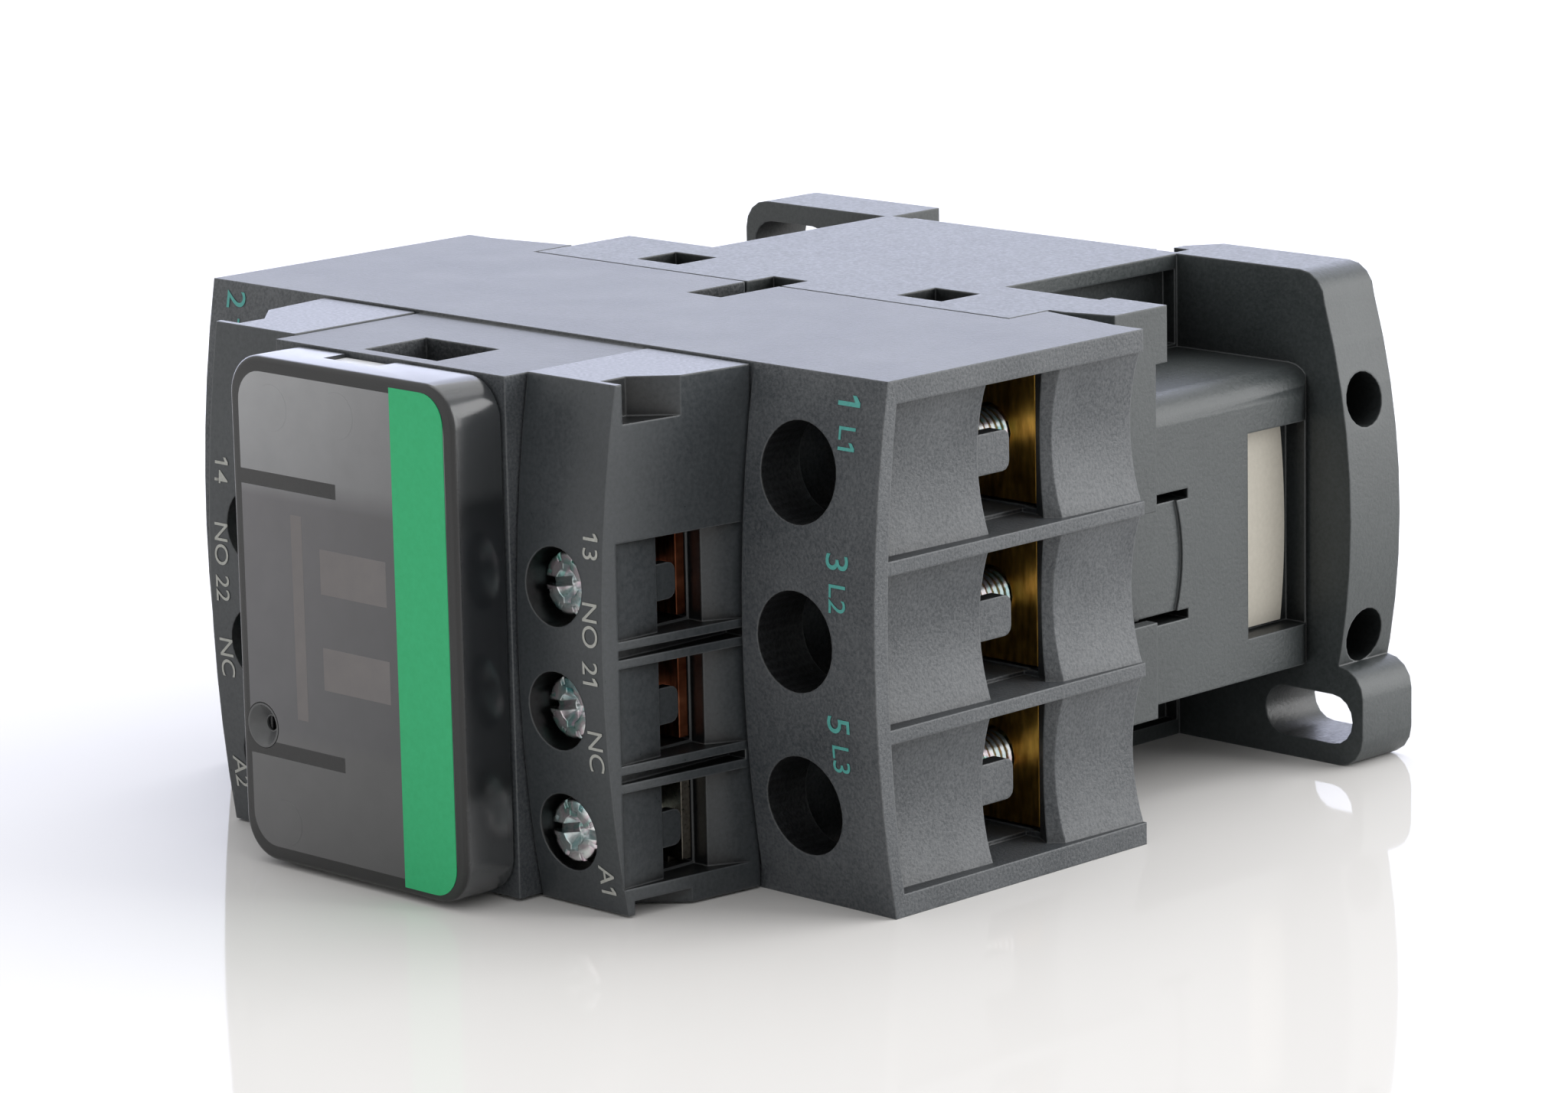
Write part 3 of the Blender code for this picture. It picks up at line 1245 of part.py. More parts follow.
def build_power_contacts(side, letter):
    """The bars under the power clamps, each with a narrower tail and a contact tip at its inner end."""
    level = (BAR_FRONT, BAR_BACK)
    for number, z in enumerate(POLE_Z, 1):
        bar = block((side * BAR_SHOULDER, side * BAR_OUTER), level, (z - BAR_HALF, z + BAR_HALF))
        tail = block(
            (side * BAR_INNER, side * (BAR_SHOULDER + SINK)),
            level,
            (z - BAR_TAIL_HALF, z + BAR_TAIL_HALF),
        )
        tip = block(
            (side * TIP_INNER, side * (TIP_INNER + TIP_LONG)),
            (TIP_FACE, BAR_FRONT + SINK),
            (z - TIP_HALF, z + TIP_HALF),
        )
        screw = (side * POWER_SCREW_X, z)
        hole = rod("Y", screw, (BAR_FRONT - PAST, BAR_BACK + PAST), POWER_THREAD / 2 + FIT, 12)
        combine(bar, "UNION", [tail])
        combine(bar, "UNION", [tip])
        combine(bar, "DIFFERENCE", [hole])
        finish(bar, f"power_contact_{letter}{number}", "terminal brass")


def build_control_contacts(side, marks):
    """The plates under the control saddles, and the tails or leads that run inwards from them."""
    for mark, z in zip(marks, CONTROL_Z):
        plate = block(
            (side * CONTROL_CLAMP_INNER, side * STRIP_OUTER),
            (STRIP_FRONT, STRIP_BACK),
            (z - STRIP_HALF, z + STRIP_HALF),
        )
        screw = (side * CONTROL_SCREW_X, z)
        hole = rod("Y", screw, (STRIP_FRONT - PAST, STRIP_BACK + PAST), CONTROL_THREAD / 2 + FIT, 12)
        if z == COIL_Z:
            lead = (side * (LEAD_X - LEAD_HALF), side * (LEAD_X + LEAD_HALF))
            lead_end = BOBBIN_FRONT + BOBBIN_FLANGE - FIT
            added = [
                block(lead, (STRIP_FRONT, STRIP_BACK), (LEAD_LOW, z - STRIP_HALF + SINK)),
                block(lead, (STRIP_FRONT, lead_end), (LEAD_LOW, LEAD_HIGH)),
            ]
            name = f"coil_terminal_{mark}"
        else:
            tail = (z - AUX_TAIL_HALF, z + AUX_TAIL_HALF)
            tip = (STRIP_FRONT - AUX_TIP_THICK, STRIP_BACK)
            if z == NC_Z:
                tip = (STRIP_FRONT, STRIP_BACK + AUX_TIP_THICK)
            ends = (side * AUX_TAIL_INNER, side * (AUX_TAIL_INNER + AUX_TIP_LONG))
            reach = (side * AUX_TAIL_INNER, side * (CONTROL_CLAMP_INNER + SINK))
            added = [block(reach, (STRIP_FRONT, STRIP_BACK), tail), block(ends, tip, tail)]
            name = f"aux_contact_{mark}"
        combine(plate, "UNION", added)
        combine(plate, "DIFFERENCE", [hole])
        finish(plate, name, "terminal brass")


def terminal_screw(thread, head, head_high, shank):
    """A combination-head screw along +Y, with the underside of its head at the origin."""
    screw = rod("Y", (0, 0), (-head_high, 0), head / 2)
    stem = rod("Y", (0, 0), (-head_high / 3, shank), thread / 2, 12)
    deep = (-head_high - PAST, head_high * (RECESS_SHARE - 1))
    cross = head * CROSS_SHARE
    slots = [
        block((-head, head), deep, (-SLOT_WIDE / 2, SLOT_WIDE / 2)),
        block((-SLOT_WIDE / 2, SLOT_WIDE / 2), deep, (-cross, cross)),
    ]
    combine(screw, "UNION", [stem])
    combine(screw, "DIFFERENCE", slots)
    return screw


def terminal_clamp(span, half, thick, thread):
    """A saddle under the screw head, its two lips turned towards the wire. Its seat is at y = 0."""
    lip = half - CLAMP_LIP
    right = [(-thick, half), (CLAMP_LIP, half), (CLAMP_LIP, lip), (0, lip)]
    outline = right + [(y, -z) for y, z in reversed(right)]
    clamp = prism("X", outline, span)
    hole = rod("Y", (0, 0), (-thick - PAST, PAST), thread / 2 + FIT, 12)
    combine(clamp, "DIFFERENCE", [hole])
    return clamp


def build_power_clamps():
    under_head = POWER_SEAT - POWER_CLAMP_THICK - FIT
    screws, clamps = {}, {}
    for side, letter, _ in SIDES:
        for number, z in enumerate(POLE_Z, 1):
            screws[f"power_screw_{letter}{number}"] = (side * POWER_SCREW_X, under_head, z)
            clamps[f"power_clamp_{letter}{number}"] = (side * POWER_SCREW_X, POWER_SEAT, z)
    screw = terminal_screw(POWER_THREAD, POWER_HEAD, POWER_HEAD_HIGH, POWER_SHANK)
    place_copies(screw, screws, "zinc steel")
    reach = min(POWER_SCREW_X - POWER_CLAMP_INNER, POWER_CLAMP_OUTER - POWER_SCREW_X)
    clamp = terminal_clamp((-reach, reach), POWER_CLAMP_HALF, POWER_CLAMP_THICK, POWER_THREAD)
    place_copies(clamp, clamps, "clamp steel")


def build_control_clamps():
    under_head = CONTROL_SEAT - CONTROL_CLAMP_THICK - FIT
    screws, clamps = {}, {}
    for side, _, marks in SIDES:
        for mark, z in zip(marks, CONTROL_Z):
            screws[f"control_screw_{mark}"] = (side * CONTROL_SCREW_X, under_head, z)
            clamps[f"control_saddle_{mark}"] = (side * CONTROL_SCREW_X, CONTROL_SEAT, z)
    screw = terminal_screw(CONTROL_THREAD, CONTROL_HEAD, CONTROL_HEAD_HIGH, CONTROL_SHANK)
    place_copies(screw, screws, "zinc steel")
    reach = min(CONTROL_SCREW_X - CONTROL_CLAMP_INNER, CONTROL_CLAMP_OUTER - CONTROL_SCREW_X)
    clamp = terminal_clamp((-reach, reach), CONTROL_CLAMP_HALF, CONTROL_CLAMP_THICK, CONTROL_THREAD)
    place_copies(clamp, clamps, "clamp steel")


clear_scene()
add_material("charcoal polyamide", (0.045, 0.048, 0.052), 0.55)
add_material("smooth polyamide", (0.04, 0.043, 0.047), 0.35)
add_material("grey polyamide", (0.07, 0.078, 0.08), 0.45)
add_material("smoked polycarbonate", (0.03, 0.032, 0.035), 0.12)
add_material("carrier thermoset", (0.03, 0.03, 0.03), 0.5)
add_material("white label", (0.8, 0.78, 0.72), 0.6)
add_material("enamelled copper", (0.45, 0.16, 0.07), 0.35, 1.0)
add_material("contact copper", (0.72, 0.42, 0.28), 0.3, 1.0)
add_material("terminal brass", (0.6, 0.42, 0.16), 0.3, 1.0)
add_material("clamp steel", (0.62, 0.6, 0.55), 0.3, 1.0)
add_material("zinc steel", (0.65, 0.67, 0.7), 0.28, 1.0)
add_material("spring steel", (0.5, 0.5, 0.5), 0.3, 1.0)
add_material("core steel", (0.35, 0.35, 0.36), 0.4, 1.0)
build_base()
build_front_housing()
build_cover()
build_rail_latch()
for side, letter, marks in SIDES:
    build_control_block(side, "control_block_line" if side > 0 else "control_block_load")
    build_power_contacts(side, letter)
    build_control_contacts(side, marks)
build_power_clamps()
build_control_clamps()
build_magnet()
build_coil()
build_carrier()
build_bridges()
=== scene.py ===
from math import cos, radians, sin, sqrt

import bpy
from mathutils import Matrix, Vector


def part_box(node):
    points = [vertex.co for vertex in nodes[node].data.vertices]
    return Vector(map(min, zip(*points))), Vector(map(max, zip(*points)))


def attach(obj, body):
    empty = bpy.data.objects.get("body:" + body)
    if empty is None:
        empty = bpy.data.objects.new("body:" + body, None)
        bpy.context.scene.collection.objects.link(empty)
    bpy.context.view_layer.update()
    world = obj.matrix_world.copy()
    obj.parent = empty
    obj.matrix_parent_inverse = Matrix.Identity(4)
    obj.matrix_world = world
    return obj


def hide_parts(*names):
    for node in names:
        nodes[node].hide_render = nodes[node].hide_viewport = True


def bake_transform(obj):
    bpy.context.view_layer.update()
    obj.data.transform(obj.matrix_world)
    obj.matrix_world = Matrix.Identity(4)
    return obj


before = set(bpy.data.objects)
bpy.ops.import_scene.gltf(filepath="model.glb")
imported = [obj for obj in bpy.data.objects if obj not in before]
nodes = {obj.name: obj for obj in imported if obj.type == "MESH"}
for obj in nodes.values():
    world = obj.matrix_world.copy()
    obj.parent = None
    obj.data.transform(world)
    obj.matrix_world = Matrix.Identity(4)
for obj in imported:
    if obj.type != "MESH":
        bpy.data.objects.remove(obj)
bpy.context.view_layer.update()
bpy.ops.object.select_all(action="DESELECT")

# Base: the rear moulding with the coil box, the rail seat and the panel ears.
# It is glass-filled polyamide, a little greener and smoother than the front housing,
# and the front housing snaps onto its collar.
MM = 0.001
EDGE_SOFT = 0.24 * MM
SHADE_PAINT_REACH = 9 * MM
WELD = 0.002 * MM
MOTTLE = 9 * MM
WELL_PAINTED_SHADE = "#141517"
RUBBED_EDGE = "#8a8d8f"
POLYAMIDE_IOR = 1.53


def linear(code):
    """A colour written as sRGB hex, as the linear values that a shader takes."""
    parts = [int(code[n : n + 2], 16) / 255 for n in (1, 3, 5)]
    return tuple(p / 12.92 if p <= 0.04045 else ((p + 0.055) / 1.055) ** 2.4 for p in parts) + (1,)


def new_material(name):
    """An empty material, with its node tree and its Principled shader."""
    material = bpy.data.materials.new(name)
    material.use_nodes = True
    return material, material.node_tree, material.node_tree.nodes["Principled BSDF"]


def add(tree, kind, inputs=None, **settings):
    """Add one shader node. An input given as a socket is linked, and any other value is set."""
    node = tree.nodes.new("ShaderNode" + kind)
    for key, value in settings.items():
        setattr(node, key, value)
    for key, value in (inputs or {}).items():
        if isinstance(value, bpy.types.NodeSocket):
            tree.links.new(value, node.inputs[key])
        else:
            node.inputs[key].default_value = value
    return node


def dress(material, *names):
    """Give CAD nodes their finish."""
    for name in names:
        for place in nodes[name].material_slots:
            place.material = material


def moulded(
    name, dark, light, roughness, grain, depth, wells=None, painted_shade_range=(0.3, 0.8), sparkle=0.05
):
    """A spark-eroded moulding: fine grain, uneven gloss, soft edges that are rubbed a little paler.

    Its screw wells get painted shade, their walls coloured near-black. They are given as the place of
    their axes in X, the height of the lowest, their pitch, their radius and where they end in Y. Its
    nooks get painted shade too, darker the more closed in they are. The painted shade range says how
    closed in a place is when it is darkest, and when it stops being darker at all.
    """
    material, tree, shader = new_material(name)
    place = add(tree, "TexCoord").outputs["Object"]
    fine = add(tree, "TexNoise", {"Vector": place, "Scale": 1 / grain, "Detail": 3.0, "Roughness": 0.6})
    broad = add(tree, "TexNoise", {"Vector": place, "Scale": 1 / MOTTLE, "Detail": 3.0})
    mottle = add(tree, "Math", {0: fine.outputs["Fac"], 1: broad.outputs["Fac"]})
    tone = add(tree, "MapRange", {"Value": mottle.outputs["Value"], "From Min": 0.7, "From Max": 1.3})
    body = add(
        tree,
        "MixRGB",
        {"Fac": tone.outputs["Result"], "Color1": linear(dark), "Color2": linear(light)},
    )
    # Painted shade: the walls of the screw wells are coloured near-black.
    if wells:
        side, first, pitch, radius, floor = wells
        axes = add(tree, "SeparateXYZ", {"Vector": place})
        across = add(tree, "Math", {0: axes.outputs["X"]}, operation="ABSOLUTE")
        across = add(tree, "Math", {0: across.outputs["Value"], 1: side}, operation="SUBTRACT")
        row = add(tree, "Math", {0: axes.outputs["Z"], 1: first}, operation="SUBTRACT")
        row = add(tree, "Math", {0: row.outputs["Value"], 1: pitch}, operation="DIVIDE")
        row = add(tree, "Math", {0: row.outputs["Value"]}, operation="ROUND")
        row = add(tree, "Clamp", {"Value": row.outputs["Value"], "Min": 0.0, "Max": 2.0})
        row = row.outputs["Result"]
        axis = add(tree, "Math", {0: row, 1: pitch, 2: first}, operation="MULTIPLY_ADD")
        axis = axis.outputs["Value"]
        along = add(tree, "Math", {0: axes.outputs["Z"], 1: axis}, operation="SUBTRACT")
        flat = add(tree, "CombineXYZ", {"X": across.outputs["Value"], "Y": along.outputs["Value"]})
        reach = add(tree, "VectorMath", {0: flat.outputs["Vector"]}, operation="LENGTH")
        inside = add(
            tree,
            "MapRange",
            {
                "Value": reach.outputs["Value"],
                "From Min": radius + 0.06 * MM,
                "From Max": radius - 0.02 * MM,
            },
        )
        above = add(
            tree,
            "MapRange",
            {"Value": axes.outputs["Y"], "From Min": floor, "From Max": floor - 0.1 * MM},
        )
        inside = add(
            tree,
            "Math",
            {0: inside.outputs["Result"], 1: above.outputs["Result"]},
            operation="MULTIPLY",
        )
        body = add(
            tree,
            "MixRGB",
            {
                "Fac": inside.outputs["Value"],
                "Color1": body.outputs["Color"],
                "Color2": linear(WELL_PAINTED_SHADE),
            },
        )
    # Painted shade: the colour is darkened where ambient occlusion finds the surface closed in.
    painted_nook_shade = add(tree, "AmbientOcclusion", {"Distance": SHADE_PAINT_REACH}, samples=6, only_local=True)
    shade = add(
        tree,
        "MapRange",
        {
            "Value": painted_nook_shade.outputs["AO"],
            "From Min": painted_shade_range[0],
            "From Max": painted_shade_range[1],
            "To Min": 0.12,
            "To Max": 1.0,
        },
    )
    body = add(
        tree,
        "MixRGB",
        {"Fac": 1.0, "Color1": body.outputs["Color"], "Color2": shade.outputs["Result"]},
        blend_type="MULTIPLY",
    )
    soft = add(tree, "Bevel", {"Radius": EDGE_SOFT}, samples=6)
    sharp = add(tree, "NewGeometry").outputs["Normal"]
    bend = add(tree, "VectorMath", {0: soft.outputs["Normal"], 1: sharp}, operation="DOT_PRODUCT")
    worn = add(
        tree,
        "MapRange",
        {"Value": bend.outputs["Value"], "From Min": 0.99, "From Max": 0.8, "To Max": 0.35},
    )
    rubbed = add(
        tree,
        "MixRGB",
        {"Fac": worn.outputs["Result"], "Color1": body.outputs["Color"], "Color2": linear(RUBBED_EDGE)},
    )
    gloss = add(
        tree,
        "MapRange",
        {"Value": fine.outputs["Fac"], "To Min": roughness - 0.18, "To Max": roughness + 0.18},
    )
    grit = add(
        tree,
        "MapRange",
        {
            "Value": fine.outputs["Fac"],
            "From Min": 0.35,
            "From Max": 0.65,
            "To Min": 0.5 - sparkle,
            "To Max": 0.5 + sparkle,
        },
    )
    bump = add(
        tree,
        "Bump",
        {
            "Strength": 0.9,
            "Distance": depth,
            "Height": fine.outputs["Fac"],
            "Normal": soft.outputs["Normal"],
        },
    )
    tree.links.new(rubbed.outputs["Color"], shader.inputs["Base Color"])
    tree.links.new(gloss.outputs["Result"], shader.inputs["Roughness"])
    tree.links.new(grit.outputs["Result"], shader.inputs["Specular IOR Level"])
    tree.links.new(bump.outputs["Normal"], shader.inputs["Normal"])
    shader.inputs["IOR"].default_value = POLYAMIDE_IOR
    return material


def choose(piece):
    """Make one piece the selected and active one."""
    bpy.ops.object.select_all(action="DESELECT")
    bpy.context.view_layer.objects.active = piece
    piece.select_set(True)


def node_copy(node, ending):
    """A copy of a CAD node with its loose triangles merged, left in edit mode with all selected."""
    piece = nodes[node].copy()
    piece.data = nodes[node].data.copy()
    piece.name = node + ending
    bpy.context.scene.collection.objects.link(piece)
    choose(piece)
    bpy.ops.object.mode_set(mode="EDIT")
    bpy.ops.mesh.select_all(action="SELECT")
    bpy.ops.mesh.remove_doubles(threshold=WELD)
    return piece


def smooth_copy(node, body, material, soften=0.14 * MM):
    """A moulding in the place of its CAD node: the same walls, with true curves and broken edges."""
    piece = node_copy(node, "_moulding")
    bpy.ops.mesh.dissolve_limited(angle_limit=radians(0.6))
    bpy.ops.object.mode_set(mode="OBJECT")
    bpy.ops.object.shade_smooth_by_angle(angle=radians(32))
    broken = piece.modifiers.new("Edges", "BEVEL")
    broken.width = soften
    broken.segments = 2
    broken.limit_method = "ANGLE"
    broken.angle_limit = radians(40)
    broken.use_clamp_overlap = True
    bpy.ops.object.modifier_apply(modifier=broken.name)
    bpy.ops.object.shade_smooth_by_angle(angle=radians(32))
    flats = piece.modifiers.new("Flats", "WEIGHTED_NORMAL")
    flats.mode = "FACE_AREA"
    flats.weight = 80
    flats.keep_sharp = True
    bpy.ops.object.modifier_apply(modifier=flats.name)
    piece.data.materials.clear()
    piece.data.materials.append(material)
    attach(piece, body)
    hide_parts(node)


# Slate moulding: cooler and smoother than the housing, so it shows as a second plastic.
slate_moulding = moulded("slate_moulding", "#333839", "#3f4445", 0.42, 0.35 * MM, 0.03 * MM)
dress(slate_moulding, "base")
smooth_copy("base", "housing", slate_moulding)

# Coil label: a strip of creamy paper wrapped round the coil, seen in the window of the coil box.
# It bulges a little, because the winding behind it is round.
LABEL_BULGE = 0.5 * MM
LABEL_PAPER = 0.1 * MM
low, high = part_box("coil_label")
bpy.ops.mesh.primitive_plane_add(size=1)
coil_paper = bpy.context.object
coil_paper.name = "coil_paper"
coil_paper.scale = (high.y - low.y, high.z - low.z, 1)
bpy.ops.object.transform_apply(scale=True)
bpy.ops.object.mode_set(mode="EDIT")
bpy.ops.mesh.subdivide(number_cuts=15)
bpy.ops.object.mode_set(mode="OBJECT")
reach = (high.z - low.z) / 2
for vert in coil_paper.data.vertices:
    across, along = vert.co.x, vert.co.y
    bulge = LABEL_BULGE * (1 - (along / reach) ** 2)
    vert.co = (low.x + LABEL_PAPER + bulge, across + (low.y + high.y) / 2, along + (low.z + high.z) / 2)
sheet = coil_paper.modifiers.new("Thickness", "SOLIDIFY")
sheet.thickness = LABEL_PAPER
bpy.ops.object.modifier_apply(modifier=sheet.name)
bpy.ops.object.mode_set(mode="EDIT")
bpy.ops.mesh.select_all(action="SELECT")
bpy.ops.mesh.normals_make_consistent(inside=False)
bpy.ops.object.mode_set(mode="OBJECT")
bpy.ops.object.shade_smooth_by_angle(angle=radians(40))

# Cream paper: warm white with faint fibres.
cream_paper, tree, shader = new_material("cream_paper")
place = add(tree, "TexCoord").outputs["Object"]
fibre = add(tree, "TexNoise", {"Vector": place, "Scale": 1 / (0.4 * MM), "Detail": 4.0})
tint = add(
    tree,
    "MixRGB",
    {"Fac": fibre.outputs["Fac"], "Color1": linear("#b8b3a7"), "Color2": linear("#cac5b9")},
)
bump = add(tree, "Bump", {"Strength": 0.2, "Distance": 0.01 * MM, "Height": fibre.outputs["Fac"]})
tree.links.new(tint.outputs["Color"], shader.inputs["Base Color"])
tree.links.new(bump.outputs["Normal"], shader.inputs["Normal"])
shader.inputs["Roughness"].default_value = 0.62
coil_paper.data.materials.append(cream_paper)
dress(cream_paper, "coil_label")
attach(coil_paper, "housing")
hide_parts("coil_label")

# Rail latch: a black acetal slide in the rear plate, pushed home by a small spring.
# It is pulled out with a screwdriver in its eye to take the part off the rail.
# Black acetal: nearly black, smooth and a little waxy.
acetal = moulded("black_acetal", "#26282a", "#2c2e30", 0.34, 0.3 * MM, 0.006 * MM)
dress(acetal, "rail_latch")
smooth_copy("rail_latch", "latch", acetal)


def drawn_steel(name, dark, light, roughness, pitch):
    """Wire or sheet steel: metal with fine drawing lines."""
    material, tree, shader = new_material(name)
    place = add(tree, "TexCoord").outputs["Object"]
    lines = add(tree, "TexNoise", {"Vector": place, "Scale": 1 / pitch, "Detail": 2.0})
    tint = add(
        tree,
        "MixRGB",
        {"Fac": lines.outputs["Fac"], "Color1": linear(dark), "Color2": linear(light)},
    )
    soft = add(tree, "Bevel", {"Radius": 0.12 * MM}, samples=4)
    bump = add(
        tree,
        "Bump",
        {
            "Strength": 0.25,
            "Distance": 0.01 * MM,
            "Height": lines.outputs["Fac"],
            "Normal": soft.outputs["Normal"],
        },
    )
    gloss = add(
        tree,
        "MapRange",
        {"Value": lines.outputs["Fac"], "To Min": roughness - 0.08, "To Max": roughness + 0.08},
    )
    tree.links.new(tint.outputs["Color"], shader.inputs["Base Color"])
    tree.links.new(gloss.outputs["Result"], shader.inputs["Roughness"])
    tree.links.new(bump.outputs["Normal"], shader.inputs["Normal"])
    shader.inputs["Metallic"].default_value = 1.0
    return material


# Spring steel: dark drawn wire with a narrow gleam.
spring_steel = drawn_steel("spring_steel", "#8f9092", "#b4b5b7", 0.3, 0.2 * MM)
dress(spring_steel, "rail_latch_spring")


def live_spring(node, moving, axis):
    """A coil spring in the place of its CAD node, between the housing and the body that presses it.

    The latch presses the high end of its spring, and the moving contacts the low end of theirs, but the
    copy stays where its CAD node stands and does not follow them.
    """
    piece = node_copy(node, "_wire")
    bpy.ops.object.mode_set(mode="OBJECT")
    piece.parent = None
    piece.matrix_world = nodes[node].matrix_world
    bpy.ops.object.shade_smooth_by_angle(angle=radians(70))
    low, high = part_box(node)
    middle = (low + high) / 2
    for corner in (low, high):
        end = middle.copy()
        end[axis] = corner[axis]
    piece.data.materials.clear()
    piece.data.materials.append(spring_steel)
    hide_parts(node)
    if moving == "latch":
        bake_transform(piece)
    else:
        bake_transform(piece)


live_spring("rail_latch_spring", "latch", 0)

# Fixed core and armature: stacks of punched iron sheets, ground flat on the pole faces.
# The core sits in the base, and the armature hangs from the contact carrier by its pin.
SHEET = 0.5 * MM
WAVE_LENGTH = 6.28

# Laminated iron: grey metal, with the edges of its sheets as fine lines.
core_sheets, tree, shader = new_material("laminated_iron")
place = add(tree, "TexCoord").outputs["Object"]
stack = add(
    tree,
    "TexWave",
    {"Vector": place, "Scale": 1 / (WAVE_LENGTH * SHEET), "Distortion": 0.4},
    bands_direction="X",
)
tint = add(
    tree,
    "MixRGB",
    {"Fac": stack.outputs["Fac"], "Color1": linear("#6f7173"), "Color2": linear("#a3a5a8")},
)
bump = add(tree, "Bump", {"Strength": 0.5, "Distance": 0.03 * MM, "Height": stack.outputs["Fac"]})
tree.links.new(tint.outputs["Color"], shader.inputs["Base Color"])
tree.links.new(bump.outputs["Normal"], shader.inputs["Normal"])
shader.inputs["Metallic"].default_value = 1.0
shader.inputs["Roughness"].default_value = 0.42
dress(core_sheets, "fixed_core", "armature")
dress(spring_steel, "armature_pin", "return_spring_1", "return_spring_2")
live_spring("return_spring_1", "moving_contacts", 1)
live_spring("return_spring_2", "moving_contacts", 1)

# Coil: a moulded bobbin wound with enamelled copper wire.
# The wire lies in tight turns round the middle leg of the core.
WIRE = 0.35 * MM
dress(acetal, "coil_bobbin")

# Enamelled wire: red-brown and glossy, with a ridge at each turn.
wound_wire, tree, shader = new_material("enamelled_wire")
place = add(tree, "TexCoord").outputs["Object"]
turns = add(
    tree, "TexWave", {"Vector": place, "Scale": 1 / (WAVE_LENGTH * WIRE)}, bands_direction="Y"
)
tint = add(
    tree,
    "MixRGB",
    {"Fac": turns.outputs["Fac"], "Color1": linear("#6d2f16"), "Color2": linear("#b5683a")},
)
bump = add(tree, "Bump", {"Strength": 0.8, "Distance": 0.1 * MM, "Height": turns.outputs["Fac"]})
tree.links.new(tint.outputs["Color"], shader.inputs["Base Color"])
tree.links.new(bump.outputs["Normal"], shader.inputs["Normal"])
shader.inputs["Metallic"].default_value = 0.8
shader.inputs["Roughness"].default_value = 0.3
shader.inputs["Coat Weight"].default_value = 0.6
dress(wound_wire, "coil_winding")

# Contact carrier: the brown-black thermoset slide that the armature pulls towards the rail.
# Three bridge contacts sit in its windows, each pressed by a spring, with two small ones in its nose.
# Carrier thermoset: warm black and dull.
thermoset = moulded("carrier_thermoset", "#241f1c", "#2d2723", 0.5, 0.4 * MM, 0.01 * MM)
dress(thermoset, "contact_carrier")


def stamped(name, dark, light, roughness, score):
    """Stamped copper alloy: warm metal with scored lines along Y and tarnish in patches."""
    material, tree, shader = new_material(name)
    place = add(tree, "TexCoord").outputs["Object"]
    stretch = add(tree, "Mapping", {"Vector": place, "Scale": (1.0, 0.08, 0.25)})
    stretch = stretch.outputs["Vector"]
    lines = add(tree, "TexNoise", {"Vector": stretch, "Scale": 1 / score, "Detail": 3.0})
    patch = add(tree, "TexNoise", {"Vector": place, "Scale": 1 / (4 * MM), "Detail": 3.0})
    mixed = add(tree, "Math", {0: lines.outputs["Fac"], 1: patch.outputs["Fac"]}, operation="MULTIPLY")
    spread = add(tree, "MapRange", {"Value": mixed.outputs["Value"], "From Min": 0.12, "From Max": 0.4})
    tint = add(
        tree,
        "MixRGB",
        {"Fac": spread.outputs["Result"], "Color1": linear(dark), "Color2": linear(light)},
    )
    soft = add(tree, "Bevel", {"Radius": 0.15 * MM}, samples=4)
    bump = add(
        tree,
        "Bump",
        {
            "Strength": 0.5,
            "Distance": 0.02 * MM,
            "Height": lines.outputs["Fac"],
            "Normal": soft.outputs["Normal"],
        },
    )
    gloss = add(
        tree,
        "MapRange",
        {"Value": patch.outputs["Fac"], "To Min": roughness - 0.1, "To Max": roughness + 0.12},
    )
    tree.links.new(tint.outputs["Color"], shader.inputs["Base Color"])
    tree.links.new(gloss.outputs["Result"], shader.inputs["Roughness"])
    tree.links.new(bump.outputs["Normal"], shader.inputs["Normal"])
    shader.inputs["Metallic"].default_value = 1.0
    return material


# Contact copper: pinkish metal, brighter where it is scored.
contact_copper = stamped("contact_copper", "#8c5238", "#d39a78", 0.32, 0.3 * MM)
dress(contact_copper, "bridge_contact_1", "bridge_contact_2", "bridge_contact_3")
dress(contact_copper, "aux_bridge_no", "aux_bridge_nc")
dress(spring_steel, "contact_spring_1", "contact_spring_2", "contact_spring_3")

# Front housing: the charcoal polyamide body with the power terminals and the tower.
# It is moulded in one piece, and its skin is coarse enough to sparkle where it faces the light.
# Charcoal grain: bluish black that turns pale where it mirrors the light at a low angle.
# Painted shade: the walls of its power screw wells are coloured near-black, and its nooks are darkened.
POWER_WELLS = (32.9 * MM, 8.4 * MM, 14.1 * MM, 4.3 * MM, -10 * MM)
charcoal_grain = moulded(
    "charcoal_grain", "#383c40", "#55585b", 0.45, 0.28 * MM, 0.06 * MM, POWER_WELLS, sparkle=0.15
)
dress(charcoal_grain, "front_housing")
smooth_copy("front_housing", "housing", charcoal_grain)

# Power terminals: a brass bar in each bay, a steel clamp over it and the screw that drives both.
# The bar is scored across, so that a wire can't slide out.
# Terminal brass is golden with dark scores, and clamp steel is a greyer, plainer metal.
terminal_brass = stamped("terminal_brass", "#8a6425", "#dcab50", 0.3, 0.6 * MM)
clamp_steel = drawn_steel("clamp_steel", "#8d8a83", "#c4c1ba", 0.34, 0.15 * MM)
ON_EDGE = 0.01 * MM
HEAD_TICKS = 8
THREAD_SIDES = 24
power_names = ("L1", "L2", "L3", "T1", "T2", "T3")
for mark in power_names:
    dress(terminal_brass, f"power_contact_{mark}")
    dress(clamp_steel, f"power_clamp_{mark}")

